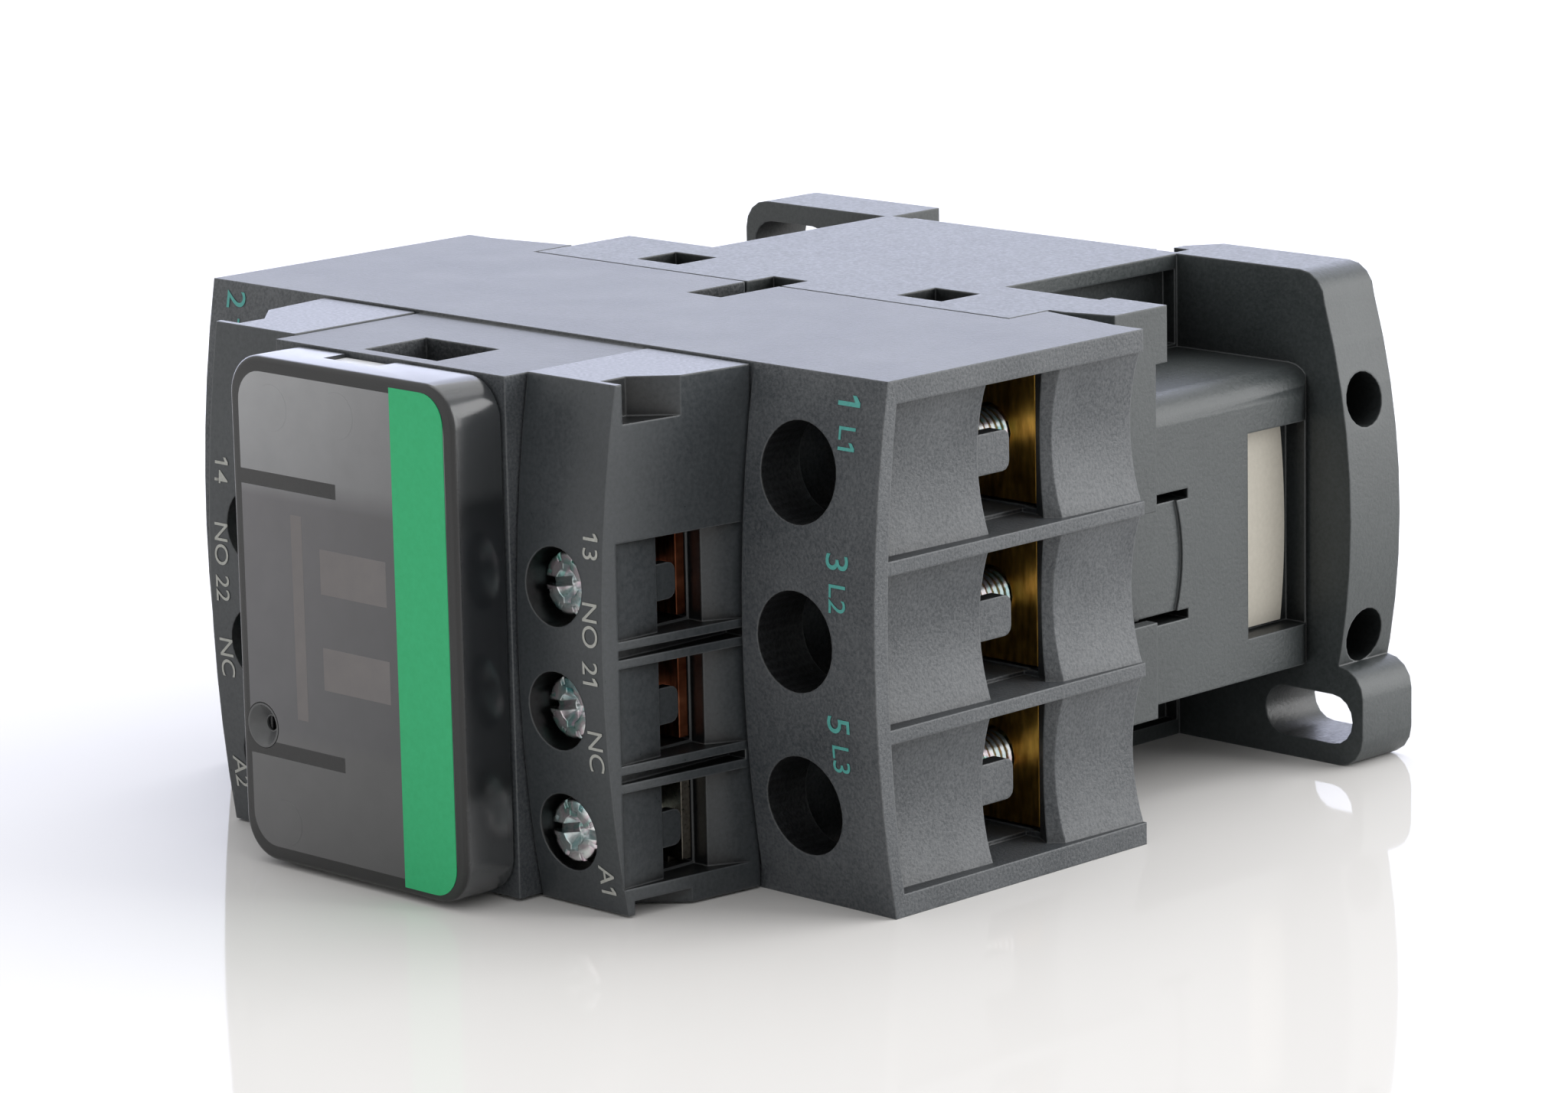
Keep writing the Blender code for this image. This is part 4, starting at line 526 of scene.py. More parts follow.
# Zinc plate: bright steel with the blue, green and pink of a passivated skin.
zinc_plate, tree, shader = new_material("passivated_zinc")
place = add(tree, "TexCoord").outputs["Object"]
haze = add(
    tree,
    "TexNoise",
    {"Vector": place, "Scale": 1 / (2.2 * MM), "Detail": 2.0, "Distortion": 0.6},
)
rainbow = add(tree, "ValToRGB", {"Fac": haze.outputs["Fac"]})
for spot, code in (
    (0.3, "#9cc9ca"),
    (0.42, "#d9e4e4"),
    (0.5, "#efefef"),
    (0.57, "#e6d6de"),
    (0.66, "#a9d2ca"),
):
    stop = rainbow.color_ramp.elements.new(spot)
    stop.color = linear(code)
soft = add(tree, "Bevel", {"Radius": 0.12 * MM}, samples=4)
scratch = add(tree, "TexNoise", {"Vector": place, "Scale": 1 / (0.12 * MM), "Detail": 2.0})
bump = add(
    tree,
    "Bump",
    {
        "Strength": 0.25,
        "Distance": 0.01 * MM,
        "Height": scratch.outputs["Fac"],
        "Normal": soft.outputs["Normal"],
    },
)
tree.links.new(rainbow.outputs["Color"], shader.inputs["Base Color"])
tree.links.new(bump.outputs["Normal"], shader.inputs["Normal"])
shader.inputs["Metallic"].default_value = 1.0
shader.inputs["Roughness"].default_value = 0.26


def cut_with(piece, cutter, operation="DIFFERENCE"):
    """Apply one Boolean and remove the cutter."""
    choose(piece)
    cut = piece.modifiers.new("Cut", "BOOLEAN")
    cut.operation = operation
    cut.solver = "EXACT"
    cut.object = cutter
    bpy.ops.object.modifier_apply(modifier=cut.name)
    bpy.data.objects.remove(cutter, do_unlink=True)


def edge_bevel(piece, width, segments, test):
    """Bevel the edges whose two ends pass a test of their place."""
    choose(piece)
    mesh = piece.data
    for group in (mesh.polygons, mesh.edges, mesh.vertices):
        for item in group:
            item.select = False
    for edge in mesh.edges:
        edge.select = all(test(mesh.vertices[n].co) for n in edge.vertices)
    bpy.ops.object.mode_set(mode="EDIT")
    bpy.ops.mesh.select_mode(type="EDGE")
    bpy.ops.mesh.bevel(offset=width, segments=segments, affect="EDGES")
    bpy.ops.object.mode_set(mode="OBJECT")


def box_piece(name, xs, ys, zs):
    """A box between two values on each axis, as the start of a piece."""
    bpy.ops.object.select_all(action="DESELECT")
    middle = [(a + b) / 2 for a, b in (xs, ys, zs)]
    bpy.ops.mesh.primitive_cube_add(size=1, location=middle)
    piece = bpy.context.object
    piece.name = name
    piece.scale = [abs(b - a) for a, b in (xs, ys, zs)]
    bpy.ops.object.transform_apply(location=True, scale=True)
    return piece


def round_piece(name, centre, ys, radius, end_radius=None, sides=32):
    """A cylinder or cone along Y, as the start of a piece."""
    bpy.ops.object.select_all(action="DESELECT")
    start, end = ys
    bpy.ops.mesh.primitive_cone_add(
        vertices=sides,
        radius1=radius,
        radius2=radius if end_radius is None else end_radius,
        depth=end - start,
        location=(centre[0], (start + end) / 2, centre[1]),
        rotation=(radians(-90), 0, 0),
    )
    piece = bpy.context.object
    piece.name = name
    bpy.ops.object.transform_apply(location=True, rotation=True)
    return piece


def joined(pieces, keep):
    """Join pieces into one of them."""
    bpy.ops.object.select_all(action="DESELECT")
    for item in pieces:
        item.select_set(True)
    bpy.context.view_layer.objects.active = keep
    bpy.ops.object.join()
    return keep


def screw_piece(node, body, head_high, thread, pitch):
    """A combination-head screw with a rolled thread, in the place of its CAD node."""
    low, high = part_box(node)
    x, z = (low.x + high.x) / 2, (low.z + high.z) / 2
    radius = (high.x - low.x) / 2
    under = low.y + head_high
    head = round_piece(node + "_plated", (x, z), (low.y, under), radius)
    edge_bevel(head, 0.12 * radius, 3, lambda co: co.y < low.y + ON_EDGE)
    slot = 0.3 * radius
    arm = 0.62 * radius
    deep = (low.y - MM, low.y + 0.5 * head_high)
    long_slot = (x - 2 * radius, x + 2 * radius)
    cut_with(head, box_piece("slot", long_slot, deep, (z - slot / 2, z + slot / 2)))
    cut_with(head, box_piece("cross", (x - slot / 2, x + slot / 2), deep, (z - arm, z + arm)))
    pit = (low.y - 0.1 * MM, low.y + 0.75 * head_high)
    cut_with(head, round_piece("pit", (x, z), pit, 0.5 * radius, 0.1 * radius, 16))
    ticks = []
    for step in range(HEAD_TICKS):
        turn = radians(22.5 + 45 * step)
        spot = (x + 0.9 * radius * cos(turn), low.y, z + 0.9 * radius * sin(turn))
        bpy.ops.mesh.primitive_cube_add(size=1, location=spot, rotation=(0, -turn, 0))
        bpy.context.object.scale = (0.34 * radius, 0.28 * head_high, 0.15 * radius)
        bpy.ops.object.transform_apply(location=True, rotation=True, scale=True)
        ticks.append(bpy.context.object)
    cut_with(head, joined(ticks, ticks[0]))
    bpy.ops.object.select_all(action="DESELECT")
    bpy.ops.mesh.primitive_plane_add(size=MM)
    stem = bpy.context.object
    bpy.ops.object.mode_set(mode="EDIT")
    bpy.ops.mesh.select_mode(type="VERT")
    bpy.ops.mesh.select_all(action="SELECT")
    bpy.ops.mesh.merge(type="CENTER")
    bpy.ops.transform.translate(value=(thread / 2 - 0.3 * pitch, 0, 0))
    for out, along in ((0.3, 0.42), (0.0, 0.08), (-0.3, 0.42), (0.0, 0.08)):
        step = (out * pitch, 0, along * pitch)
        bpy.ops.mesh.extrude_region_move(TRANSFORM_OT_translate={"value": step})
    bpy.ops.object.mode_set(mode="OBJECT")
    wind = stem.modifiers.new("Thread", "SCREW")
    wind.screw_offset = pitch
    wind.steps = THREAD_SIDES
    wind.render_steps = THREAD_SIDES
    wind.iterations = int((high.y - under) / pitch) - 1
    wind.use_merge_vertices = True
    wind.merge_threshold = 0.005 * MM
    wind.use_normal_calculate = True
    bpy.ops.object.modifier_apply(modifier=wind.name)
    stem.rotation_euler = (radians(-90), 0, 0)
    stem.location = (x, under + 0.2 * MM, z)
    bpy.ops.object.transform_apply(location=True, rotation=True)
    ends = (under - 0.2 * MM, high.y - 0.4 * pitch)
    core = round_piece("core", (x, z), ends, thread / 2 - 0.28 * pitch, None, 20)
    joined((stem, core, head), head)
    bpy.ops.object.shade_smooth_by_angle(angle=radians(35))
    head.data.materials.clear()
    head.data.materials.append(zinc_plate)
    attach(head, body)
    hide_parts(node)


for mark in power_names:
    screw_piece(f"power_screw_{mark}", f"power_screw_{mark}_body", 3.0 * MM, 4.4 * MM, 0.7 * MM)
    dress(zinc_plate, f"power_screw_{mark}")

# Control blocks: two smoother mouldings beside the tower, each with three small screw terminals.
# Their plates are copper for the contacts and tinned for the coil.
# Satin charcoal: the same black with a finer skin, so it mirrors more; painted shade darkens its
# windows more strongly and colours its screw wells near-black.
CONTROL_WELLS = (19.0 * MM, 6.6 * MM, 10.5 * MM, 3.35 * MM, -28 * MM)
satin_charcoal = moulded(
    "satin_charcoal", "#33373a", "#3d4144", 0.36, 0.35 * MM, 0.008 * MM, CONTROL_WELLS, (0.72, 0.99)
)
dress(satin_charcoal, "control_block_line", "control_block_load")
smooth_copy("control_block_line", "housing", satin_charcoal)
smooth_copy("control_block_load", "housing", satin_charcoal)

# Ribbed copper is red-brown between bright ridges, and tinned copper is a soft grey.
ribbed_copper = stamped("ribbed_copper", "#5d2f1c", "#b87352", 0.34, 0.5 * MM)
tinned_copper = drawn_steel("tinned_copper", "#6b655c", "#b5aea1", 0.3, 0.3 * MM)
for mark in ("13", "21", "14", "22"):
    dress(ribbed_copper, f"aux_contact_{mark}")
for mark in ("A1", "A2"):
    dress(tinned_copper, f"coil_terminal_{mark}")
for mark in ("13", "21", "A1", "14", "22", "A2"):
    dress(clamp_steel, f"control_saddle_{mark}")
    screw_piece(f"control_screw_{mark}", f"control_screw_{mark}_body", 2.4 * MM, 3.3 * MM, 0.6 * MM)
    dress(zinc_plate, f"control_screw_{mark}")

# Cover: a smoky polycarbonate shell with push-in legs, over the front of the tower.
# Ribs behind its face show as dark bars, and a sealing hole is sunk in its face.
COVER_SKIN = 0.08 * MM
COVER_WALL = 1.3 * MM
POLYCARBONATE_IOR = 1.58


def round_corners(piece, xs, zs, radius, segments):
    """Round the corners of a plate: the edges along Y at each of the places in X and Z."""
    for corner_x in xs:
        for corner_z in zs:
            edge_bevel(
                piece,
                radius,
                segments,
                lambda co: abs(co.x - corner_x) < ON_EDGE and abs(co.z - corner_z) < ON_EDGE,
            )


low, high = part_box("front_cover")
back = -40.9 * MM
face = low.y + COVER_SKIN
cover_shell = box_piece("cover_shell", (low.x, high.x), (face, back), (low.z, high.z))
round_corners(cover_shell, (low.x, high.x), (low.z, high.z), 3.6 * MM, 10)
edge_bevel(cover_shell, 0.4 * MM, 4, lambda co: co.y < face + ON_EDGE)
bpy.ops.object.mode_set(mode="EDIT")
bpy.ops.mesh.select_mode(type="FACE")
bpy.ops.mesh.select_all(action="DESELECT")
bpy.ops.object.mode_set(mode="OBJECT")
for polygon in cover_shell.data.polygons:
    polygon.select = polygon.normal.y > 0.9
bpy.ops.object.mode_set(mode="EDIT")
bpy.ops.mesh.inset(thickness=COVER_WALL)
bpy.ops.mesh.extrude_region_move(TRANSFORM_OT_translate={"value": (0, face + COVER_WALL - back, 0)})
bpy.ops.object.mode_set(mode="OBJECT")
SEAL = (-11.3 * MM, 12.3 * MM)
SEAL_BORE = 0.65 * MM
through = (face - MM, face + 3 * MM)
sunk = (face - 0.1 * MM, face + 1.25 * MM)
cut_with(cover_shell, round_piece("seal", SEAL, through, SEAL_BORE, None, 24))
cut_with(cover_shell, round_piece("sink", SEAL, sunk, 2.0 * MM, None, 48))
LUG = ((-5 * MM, 1.6 * MM), (-43.4 * MM, back + MM))
cut_with(cover_shell, box_piece("lug", LUG[0], LUG[1], (high.z - 0.5 * MM, high.z + MM)))
bpy.ops.object.shade_smooth_by_angle(angle=radians(35))

# Smoked polycarbonate: dark, hazy and glossy. Its colour carries painted light and shade by height:
# painted shade darkens the middle, where the tower is behind it, and painted light makes it paler
# towards the bottom and the top.
smoked, tree, shader = new_material("smoked_polycarbonate")
place = add(tree, "TexCoord").outputs["Object"]
axes = add(tree, "SeparateXYZ", {"Vector": place})
# Painted light and shade: the ramp by height is pale at the bottom and top and dark in the middle; the
# face in front of the walls is near-black.
height = add(tree, "MapRange", {"Value": axes.outputs["Z"], "From Min": 0.0, "From Max": 45 * MM})
tint = add(tree, "ValToRGB", {"Fac": height.outputs["Result"]})
tint.color_ramp.elements[0].color = linear("#656769")
tint.color_ramp.elements[1].color = linear("#54575a")
for spot, code in (
    (0.20, "#5e6062"),
    (0.23, "#2f3234"),
    (0.30, "#383b3e"),
    (0.70, "#303337"),
    (0.76, "#282b2e"),
    (0.79, "#4c4f51"),
):
    stop = tint.color_ramp.elements.new(spot)
    stop.color = linear(code)
depth = add(
    tree,
    "MapRange",
    {"Value": axes.outputs["Y"], "From Min": face + 0.2 * MM, "From Max": face + 0.5 * MM},
)
tint = add(
    tree,
    "MixRGB",
    {"Fac": depth.outputs["Result"], "Color1": linear("#161718"), "Color2": tint.outputs["Color"]},
)
dust = add(tree, "TexNoise", {"Vector": place, "Scale": 1 / (0.8 * MM), "Detail": 3.0})
gloss = add(tree, "MapRange", {"Value": dust.outputs["Fac"], "To Min": 0.14, "To Max": 0.24})
tree.links.new(tint.outputs["Color"], shader.inputs["Base Color"])
tree.links.new(gloss.outputs["Result"], shader.inputs["Roughness"])
shader.inputs["IOR"].default_value = POLYCARBONATE_IOR
shader.inputs["Transmission Weight"].default_value = 0.5
cover_shell.data.materials.clear()
cover_shell.data.materials.append(smoked)
dress(smoked, "front_cover")
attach(cover_shell, "cover")
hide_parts("front_cover")

# Cover trim: a grey collar in the sealing hole, and a pale tab that shows in a notch of the upper wall.
# Both are clouded polycarbonate pressed into the shell, so they look milky beside it.
collar = (face - 0.03 * MM, face + 1.2 * MM)
dish = (face - 0.05 * MM, face + 1.0 * MM)
seal_collar = round_piece("seal_collar", SEAL, collar, 1.95 * MM, 1.9 * MM, 48)
cut_with(seal_collar, round_piece("sink", SEAL, dish, 1.8 * MM, 0.75 * MM, 48))
cut_with(seal_collar, round_piece("seal", SEAL, through, SEAL_BORE, None, 24))
bpy.ops.object.shade_smooth_by_angle(angle=radians(35))
tab_level = (high.z - 0.7 * MM, high.z - 0.3 * MM)
upper_tab = box_piece("upper_tab", (-4.9 * MM, 1.5 * MM), (-43.3 * MM, back), tab_level)
edge_bevel(upper_tab, 0.08 * MM, 2, lambda co: co.z > high.z - 0.31 * MM)
for trim, dark, light in (
    (seal_collar, "#4c4d4e", "#5c5d5e"),
    (upper_tab, "#c9cacc", "#dadbdd"),
):
    clouded, tree, shader = new_material(trim.name + "_polycarbonate")
    place = add(tree, "TexCoord").outputs["Object"]
    cloud = add(tree, "TexNoise", {"Vector": place, "Scale": 1 / (0.8 * MM), "Detail": 2.0})
    tint = add(
        tree,
        "MixRGB",
        {"Fac": cloud.outputs["Fac"], "Color1": linear(dark), "Color2": linear(light)},
    )
    tree.links.new(tint.outputs["Color"], shader.inputs["Base Color"])
    shader.inputs["Roughness"].default_value = 0.3
    shader.inputs["IOR"].default_value = POLYCARBONATE_IOR
    trim.data.materials.clear()
    trim.data.materials.append(clouded)
    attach(trim, "cover")

# Cover ribs: walls moulded on the back of the cover face, with the two legs that push into the tower.
# They are the same plastic, coloured near-black as painted shade for how deep they lie behind the face,
# and the four edge walls run the full depth of the shell so that its sides show this painted shade.
rib_painted_shade = moulded("rib_painted_shade", "#17181a", "#1d1e20", 0.25, 0.4 * MM, 0.004 * MM)
rib_front = face + COVER_WALL - 0.05 * MM
ribs = []
for level in (33.6 * MM, 10.1 * MM):
    bar = (level - 0.7 * MM, level + 0.7 * MM)
    ribs.append(box_piece("rib", (-12.6 * MM, -2 * MM), (rib_front, rib_front + 2.2 * MM), bar))
deep = (rib_front, rib_front + 3.8 * MM)
for wall in (-12.1 * MM, 12.1 * MM):
    thick = (wall - 0.5 * MM, wall + 0.5 * MM)
    ribs.append(box_piece("rib", thick, deep, (3.2 * MM, 41.8 * MM)))
for wall in (2.4 * MM, 42.6 * MM):
    thick = (wall - 0.5 * MM, wall + 0.5 * MM)
    ribs.append(box_piece("rib", (-11.5 * MM, 11.5 * MM), deep, thick))
leg = (rib_front + 0.5 * MM, -37.2 * MM)
for side in (-9 * MM, 9 * MM):
    thick = (side - 0.7 * MM, side + 0.7 * MM)
    ribs.append(box_piece("rib", thick, leg, (20.5 * MM, 24.5 * MM)))
cover_ribs = joined(ribs, ribs[0])
cover_ribs.name = "cover_ribs"
edge_bevel(cover_ribs, 0.12 * MM, 2, lambda co: True)
cover_ribs.data.materials.clear()
cover_ribs.data.materials.append(rib_painted_shade)
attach(cover_ribs, "cover")

# Cover face: the field inside the border is frosted, so it is paler than the rest of the shell.
# The light from above fades down it, and it is bare where the two bar ribs and the sealing hole are.
FIELD = (face - 0.015 * MM, face + 0.3 * MM)
FIELD_X = (-12.9 * MM, 12.9 * MM)
FIELD_Z = (1.8 * MM, 43.2 * MM)
cover_frost = box_piece("cover_frost", FIELD_X, FIELD, FIELD_Z)
round_corners(cover_frost, FIELD_X, FIELD_Z, 2.8 * MM, 8)
through = (FIELD[0] - MM, FIELD[1] + MM)
for level in (33.95 * MM, 10.4 * MM):
    notch = (level - 0.65 * MM, level + 0.65 * MM)
    cut_with(cover_frost, box_piece("notch", (-14 * MM, -0.8 * MM), through, notch))
cut_with(cover_frost, round_piece("eye", SEAL, through, 2.05 * MM, None, 40))
pin_high = (FIELD[0] - 0.015 * MM, FIELD[0] + 0.1 * MM)
for spot in ((-8.7 * MM, 40.2 * MM), (-0.3 * MM, 40.5 * MM), (-8.7 * MM, 4.1 * MM)):
    pin = round_piece("pin_mark", spot, pin_high, 2 * MM, 2.05 * MM, 40)
    cut_with(cover_frost, pin, "UNION")

# Frosted smoke: grey, clouded and glossy, with painted light that makes it palest at the top and on the
# load side.
frosted, tree, shader = new_material("frosted_smoke")
place = add(tree, "TexCoord").outputs["Object"]
axes = add(tree, "SeparateXYZ", {"Vector": place})
height = add(tree, "MapRange", {"Value": axes.outputs["Z"], "From Min": 0.0, "From Max": 45 * MM})
painted_light_fade = add(tree, "ValToRGB", {"Fac": height.outputs["Result"]})
painted_light_fade.color_ramp.elements[0].color = linear("#59595a")
painted_light_fade.color_ramp.elements[1].color = linear("#9c9d9f")
for spot, code in ((0.25, "#5c5c5d"), (0.28, "#57575a"), (0.72, "#5f5e61"), (0.77, "#858688")):
    stop = painted_light_fade.color_ramp.elements.new(spot)
    stop.color = linear(code)
cloud = add(tree, "TexNoise", {"Vector": place, "Scale": 1 / (3 * MM), "Detail": 3.0})
dim = add(tree, "MapRange", {"Value": cloud.outputs["Fac"], "To Min": 0.85, "To Max": 1.05})
# Painted light: the colour is brighter towards the load side and dimmer towards the line side.
painted_side_light = add(
    tree,
    "MapRange",
    {
        "Value": axes.outputs["X"],
        "From Min": -13 * MM,
        "From Max": 6 * MM,
        "To Min": 1.25,
        "To Max": 0.75,
    },
)
dim = add(tree, "Math", {0: dim.outputs["Result"], 1: painted_side_light.outputs["Result"]}, operation="MULTIPLY")
tint = add(
    tree,
    "MixRGB",
    {"Fac": 1.0, "Color1": painted_light_fade.outputs["Color"], "Color2": dim.outputs["Value"]},
    blend_type="MULTIPLY",
)
tree.links.new(tint.outputs["Color"], shader.inputs["Base Color"])
shader.inputs["Roughness"].default_value = 0.14
shader.inputs["IOR"].default_value = POLYCARBONATE_IOR
cover_frost.data.materials.clear()
cover_frost.data.materials.append(frosted)
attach(cover_frost, "cover")

# Cover pads: two windows over the indicator and a narrow strip beside them, behind the cover face.
# They are polycarbonate too, and stand a hair proud of the frosting so that they show.
pads = []
pad_high = (FIELD[0] - 0.012 * MM, FIELD[0] + 0.1 * MM)
for xs, zs in (
    ((-3.1, 5.2), (24.9, 28.8)),
    ((-3.1, 5.3), (16.6, 20.3)),
    ((-6.7, -5.3), (13.5, 31.3)),
):
    across, along = [(a * MM, b * MM) for a, b in (xs, zs)]
    pads.append(box_piece("pad", across, pad_high, along))
cover_pads = joined(pads, pads[0])
cover_pads.name = "cover_pads"
edge_bevel(cover_pads, 0.01 * MM, 1, lambda co: True)

# Indicator plastic: warm grey, a shade apart from the frosting round it.
warm_grey, tree, shader = new_material("indicator_plastic")
place = add(tree, "TexCoord").outputs["Object"]
cloud = add(tree, "TexNoise", {"Vector": place, "Scale": 1 / (2 * MM), "Detail": 3.0})
tint = add(
    tree,
    "MixRGB",
    {"Fac": cloud.outputs["Fac"], "Color1": linear("#625f60"), "Color2": linear("#716c6b")},
)
tree.links.new(tint.outputs["Color"], shader.inputs["Base Color"])
shader.inputs["Roughness"].default_value = 0.14
shader.inputs["IOR"].default_value = POLYCARBONATE_IOR
cover_pads.data.materials.clear()
cover_pads.data.materials.append(warm_grey)
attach(cover_pads, "cover")

# Cover stripe: a plain green plastic strip down the line side of the cover face.
# It is a thin film, stuck on, and its two outer corners follow those of the cover.
STRIPE_X = (6.35 * MM, 12.8 * MM)
STRIPE_Z = (1.1 * MM, 43.7 * MM)
stripe_thick = (low.y + 0.02 * MM, face + 0.02 * MM)
cover_stripe = box_piece("cover_stripe", STRIPE_X, stripe_thick, STRIPE_Z)
round_corners(cover_stripe, STRIPE_X[1:], STRIPE_Z, 2.6 * MM, 8)

# Green film: an even, strong green with a faint mottle, half matt.
green_film, tree, shader = new_material("green_film")
place = add(tree, "TexCoord").outputs["Object"]
mottle = add(tree, "TexNoise", {"Vector": place, "Scale": 1 / (0.5 * MM), "Detail": 4.0})
tint = add(
    tree,
    "MixRGB",
    {"Fac": mottle.outputs["Fac"], "Color1": linear("#1cab6b"), "Color2": linear("#2cba7a")},
)
bump = add(tree, "Bump", {"Strength": 0.15, "Distance": 0.01 * MM, "Height": mottle.outputs["Fac"]})
tree.links.new(tint.outputs["Color"], shader.inputs["Base Color"])
tree.links.new(bump.outputs["Normal"], shader.inputs["Normal"])
shader.inputs["Roughness"].default_value = 0.45
cover_stripe.data.materials.clear()
cover_stripe.data.materials.append(green_film)
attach(cover_stripe, "cover")

# Terminal marks: numbers and letters printed on the bowed fronts, to read with the line side up.
# They are pad-printed, so they lie on the plastic without thickness to speak of.
MARK_LIFT = 0.04 * MM
HALF_WIDE = 22.5 * MM
POWER_FRONT = (-24.1 * MM, 2.1 * MM)
CONTROL_FRONT = (-38.2 * MM, 2.05 * MM)


def bow(z, level, bulge):
    """Where a bowed front lies at a height: it bulges towards minus Y in its middle."""
    radius = (HALF_WIDE**2 + bulge**2) / (2 * bulge)
    return level - bulge + radius - sqrt(radius**2 - (z - HALF_WIDE) ** 2)


def printed(words, x, z, size, material, front):
    """One mark on a bowed front, as a thin mesh that follows the bow.

    The font's figure one is a bare bar, so it gets the slanted flag of the printed one.
    """
    bpy.ops.object.select_all(action="DESELECT")
    bpy.ops.object.text_add()
    mark = bpy.context.object
    mark.data.body = words
    mark.data.size = size
    mark.data.align_x = "CENTER"
    mark.data.align_y = "CENTER"
    mark.data.offset = 0.006 * MM
    bpy.ops.object.convert(target="MESH")
    mark = bpy.context.object
    mark.name = "mark_" + words.replace(" ", "_")
    if "1" in words:
        spots = [vert.co.x for vert in mark.data.vertices]
        end = min(spots) if words[0] == "1" else max(spots)
        bar = [vert.co for vert in mark.data.vertices if abs(vert.co.x - end) < 0.14 * size]
        edge, top = min(co.x for co in bar), max(co.y for co in bar)
        stroke = max(co.x for co in bar) - edge
        bpy.ops.object.mode_set(mode="EDIT")
        bpy.ops.mesh.primitive_plane_add(size=stroke)
        bpy.ops.object.mode_set(mode="OBJECT")
        tip = (edge - 0.15 * size, top - 0.13 * size)
        flag = ((tip[0], tip[1] - 1.2 * stroke), (edge, top - 1.6 * stroke), tip, (edge, top))
        for vert, spot in zip(list(mark.data.vertices)[-4:], flag):
            vert.co = (spot[0], spot[1], 0)
    bpy.ops.object.mode_set(mode="EDIT")
    bpy.ops.mesh.select_all(action="SELECT")
    bpy.ops.mesh.remove_doubles(threshold=WELD)
    bpy.ops.object.mode_set(mode="OBJECT")
    for vert in mark.data.vertices:
        along, up = vert.co.x, vert.co.y
        spot = z - along
        vert.co = (x + up, bow(spot, *front) - MARK_LIFT, spot)
    bpy.ops.object.mode_set(mode="EDIT")
    bpy.ops.mesh.select_all(action="SELECT")
    bpy.ops.mesh.normals_make_consistent(inside=False)
    bpy.ops.object.mode_set(mode="OBJECT")
    if sum(polygon.normal.y * polygon.area for polygon in mark.data.polygons) > 0:
        mark.data.flip_normals()
    mark.data.materials.clear()
    mark.data.materials.append(material)
    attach(mark, "housing")


def ink(name, colour, worn):
    """Printing ink that is a little thin in places."""
    material, tree, shader = new_material(name)
    place = add(tree, "TexCoord").outputs["Object"]
    thin = add(tree, "TexNoise", {"Vector": place, "Scale": 1 / (0.25 * MM), "Detail": 3.0})
    tint = add(
        tree,
        "MixRGB",
        {"Fac": thin.outputs["Fac"], "Color1": linear(worn), "Color2": linear(colour)},
    )
    tree.links.new(tint.outputs["Color"], shader.inputs["Base Color"])
    shader.inputs["Roughness"].default_value = 0.5
    return material


# Teal ink marks the power terminals and pale grey ink the control terminals, both dull.
teal_ink = ink("teal_ink", "#5fb3ab", "#3f8f88")
grey_ink = ink("grey_ink", "#c3c4be", "#94958f")
for words, x, z in (
    ("1", 37.9, 42.8),
    ("3", 37.6, 29.8),
    ("5", 37.5, 16.1),
    ("2", -38.8, 43.4),
    ("4", -38.8, 30.6),
    ("6", -38.8, 17.0),
):
    printed(words, x * MM, z * MM, 3.6 * MM, teal_ink, POWER_FRONT)
for words, x, z in (
    ("L1", 38.0, 39.8),
    ("L2", 37.7, 26.8),
    ("L3", 37.6, 13.2),
    ("T1", -39.0, 40.3),
    ("T2", -39.0, 27.5),
    ("T3", -39.0, 13.9),
):
    printed(words, x * MM, z * MM, 2.7 * MM, teal_ink, POWER_FRONT)
for words, x, z in (
    ("13", 23.2, 31.5),
    ("NO", 23.2, 25.0),
    ("21", 23.1, 20.7),
    ("NC", 23.3, 14.3),
    ("A1", 22.9, 2.8),
    ("14", -23.2, 32.1),
    ("NO", -23.2, 25.6),
    ("22", -23.2, 21.6),
    ("NC", -23.2, 15.4),
    ("A2", -23.2, 4.8),
):
    printed(words, x * MM, z * MM, 2.5 * MM, grey_ink, CONTROL_FRONT)

# Stage: a pale glossy sheet under the object and a bright white card behind it.
# The card is what the upper faces mirror, so it is brighter for them than for the camera.
FLOOR_WIDE = 6
CARD_PLACE = (-0.9, 0.9, 0.6)
CARD_SIZE = (2.6, 1.2, 1)
CARD_MIRRORED = 3.0
bpy.ops.object.select_all(action="DESELECT")
bpy.ops.mesh.primitive_plane_add(size=FLOOR_WIDE)
floor = bpy.context.object
floor.name = "floor"
floor_white, tree, shader = new_material("floor_white")
shader.inputs["Base Color"].default_value = linear("#ebe9e7")
shader.inputs["Roughness"].default_value = 0.05
shader.inputs["IOR"].default_value = 1.13
floor.data.materials.append(floor_white)
card_turn = (radians(90), 0, radians(45))
bpy.ops.mesh.primitive_plane_add(size=1, location=CARD_PLACE, rotation=card_turn)
card = bpy.context.object
card.name = "card"
card.scale = CARD_SIZE
card_white, tree, shader = new_material("card_white")
path = add(tree, "LightPath")
glossy = path.outputs["Is Glossy Ray"]
mirrored = add(tree, "MapRange", {"Value": glossy, "To Min": 1.0, "To Max": CARD_MIRRORED})
shader.inputs["Base Color"].default_value = (0, 0, 0, 1)
shader.inputs["Emission Color"].default_value = linear("#e4e9ff")
tree.links.new(mirrored.outputs["Result"], shader.inputs["Emission Strength"])
card.data.materials.append(card_white)

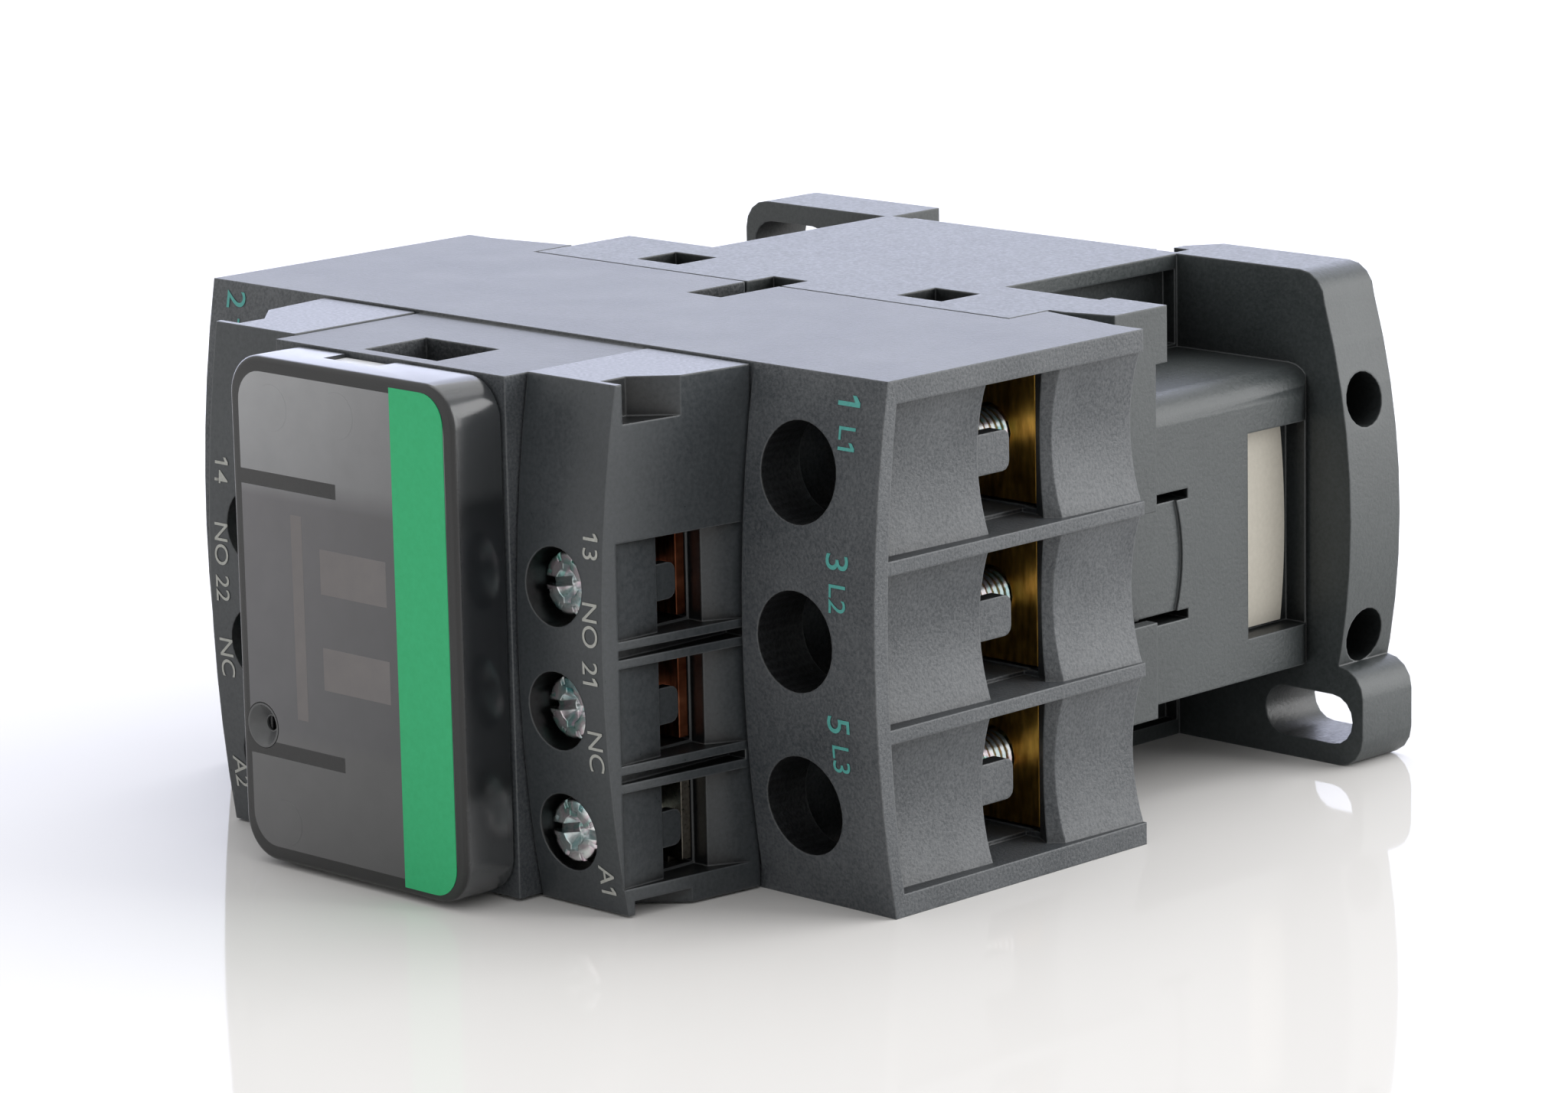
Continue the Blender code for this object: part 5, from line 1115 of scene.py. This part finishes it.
# Light: a wide soft lamp on the line side towards the rear, a weak one overhead, and an even sky.
# The sky is plain white to the eye and in mirrors, and weaker as light on the object.
SKY_LIGHT = 0.7
AIM = Vector((0, 0, 0.02))
world = bpy.data.worlds.new("studio")
bpy.context.scene.world = world
world.use_nodes = True
tree = world.node_tree
path = add(tree, "LightPath")
seen = path.outputs["Is Camera Ray"]
for ray in ("Is Glossy Ray", "Is Transmission Ray"):
    seen = add(tree, "Math", {0: seen, 1: path.outputs[ray]}, operation="MAXIMUM").outputs["Value"]
level = add(tree, "MapRange", {"Value": seen, "To Min": SKY_LIGHT, "To Max": 1.0})
sky = tree.nodes["Background"]
sky.inputs["Color"].default_value = (1, 1, 1, 1)
tree.links.new(level.outputs["Result"], sky.inputs["Strength"])
for name, place, size, power in (
    ("line_side", (0.7, 0.66, 0.35), 0.9, 9.0),
    ("overhead", (-0.1, 0.3, 0.9), 1.0, 3.5),
):
    lamp = bpy.data.lights.new(name, "AREA")
    lamp.size = size
    lamp.energy = power
    holder = bpy.data.objects.new(name, lamp)
    holder.location = place
    holder.rotation_euler = (AIM - Vector(place)).to_track_quat("-Z", "Y").to_euler()
    bpy.context.scene.collection.objects.link(holder)

# Camera: the photograph's view, from the front on the line side and a little above.
# Its place, turn and focal length were solved from the straight edges of the object.
PHOTO_WIDE = 2048
FOCAL_LENGTH = 7589.35
SENSOR = 36
LOOK_AT = Vector((0.0058, 0.00027, 0.0225))
DISTANCE = 0.51542
azimuth, elevation, roll = radians(44.63), radians(12.02), radians(-1.17)
away = Vector((sin(azimuth) * cos(elevation), -cos(azimuth) * cos(elevation), sin(elevation)))
right = Vector((cos(azimuth), sin(azimuth), 0))
up = away.cross(right)
turned_right = right * cos(roll) + up * sin(roll)
turned_up = up * cos(roll) - right * sin(roll)
lens = bpy.data.cameras.new("camera")
lens.sensor_width = SENSOR
lens.lens = SENSOR * FOCAL_LENGTH / PHOTO_WIDE
lens.clip_start = 0.01
camera = bpy.data.objects.new("camera", lens)
spot = LOOK_AT + away * DISTANCE
camera.matrix_world = Matrix((turned_right, turned_up, away)).transposed().to_4x4()
camera.location = spot
bpy.context.scene.collection.objects.link(camera)
bpy.context.scene.camera = camera
bpy.context.scene.view_settings.view_transform = "Standard"
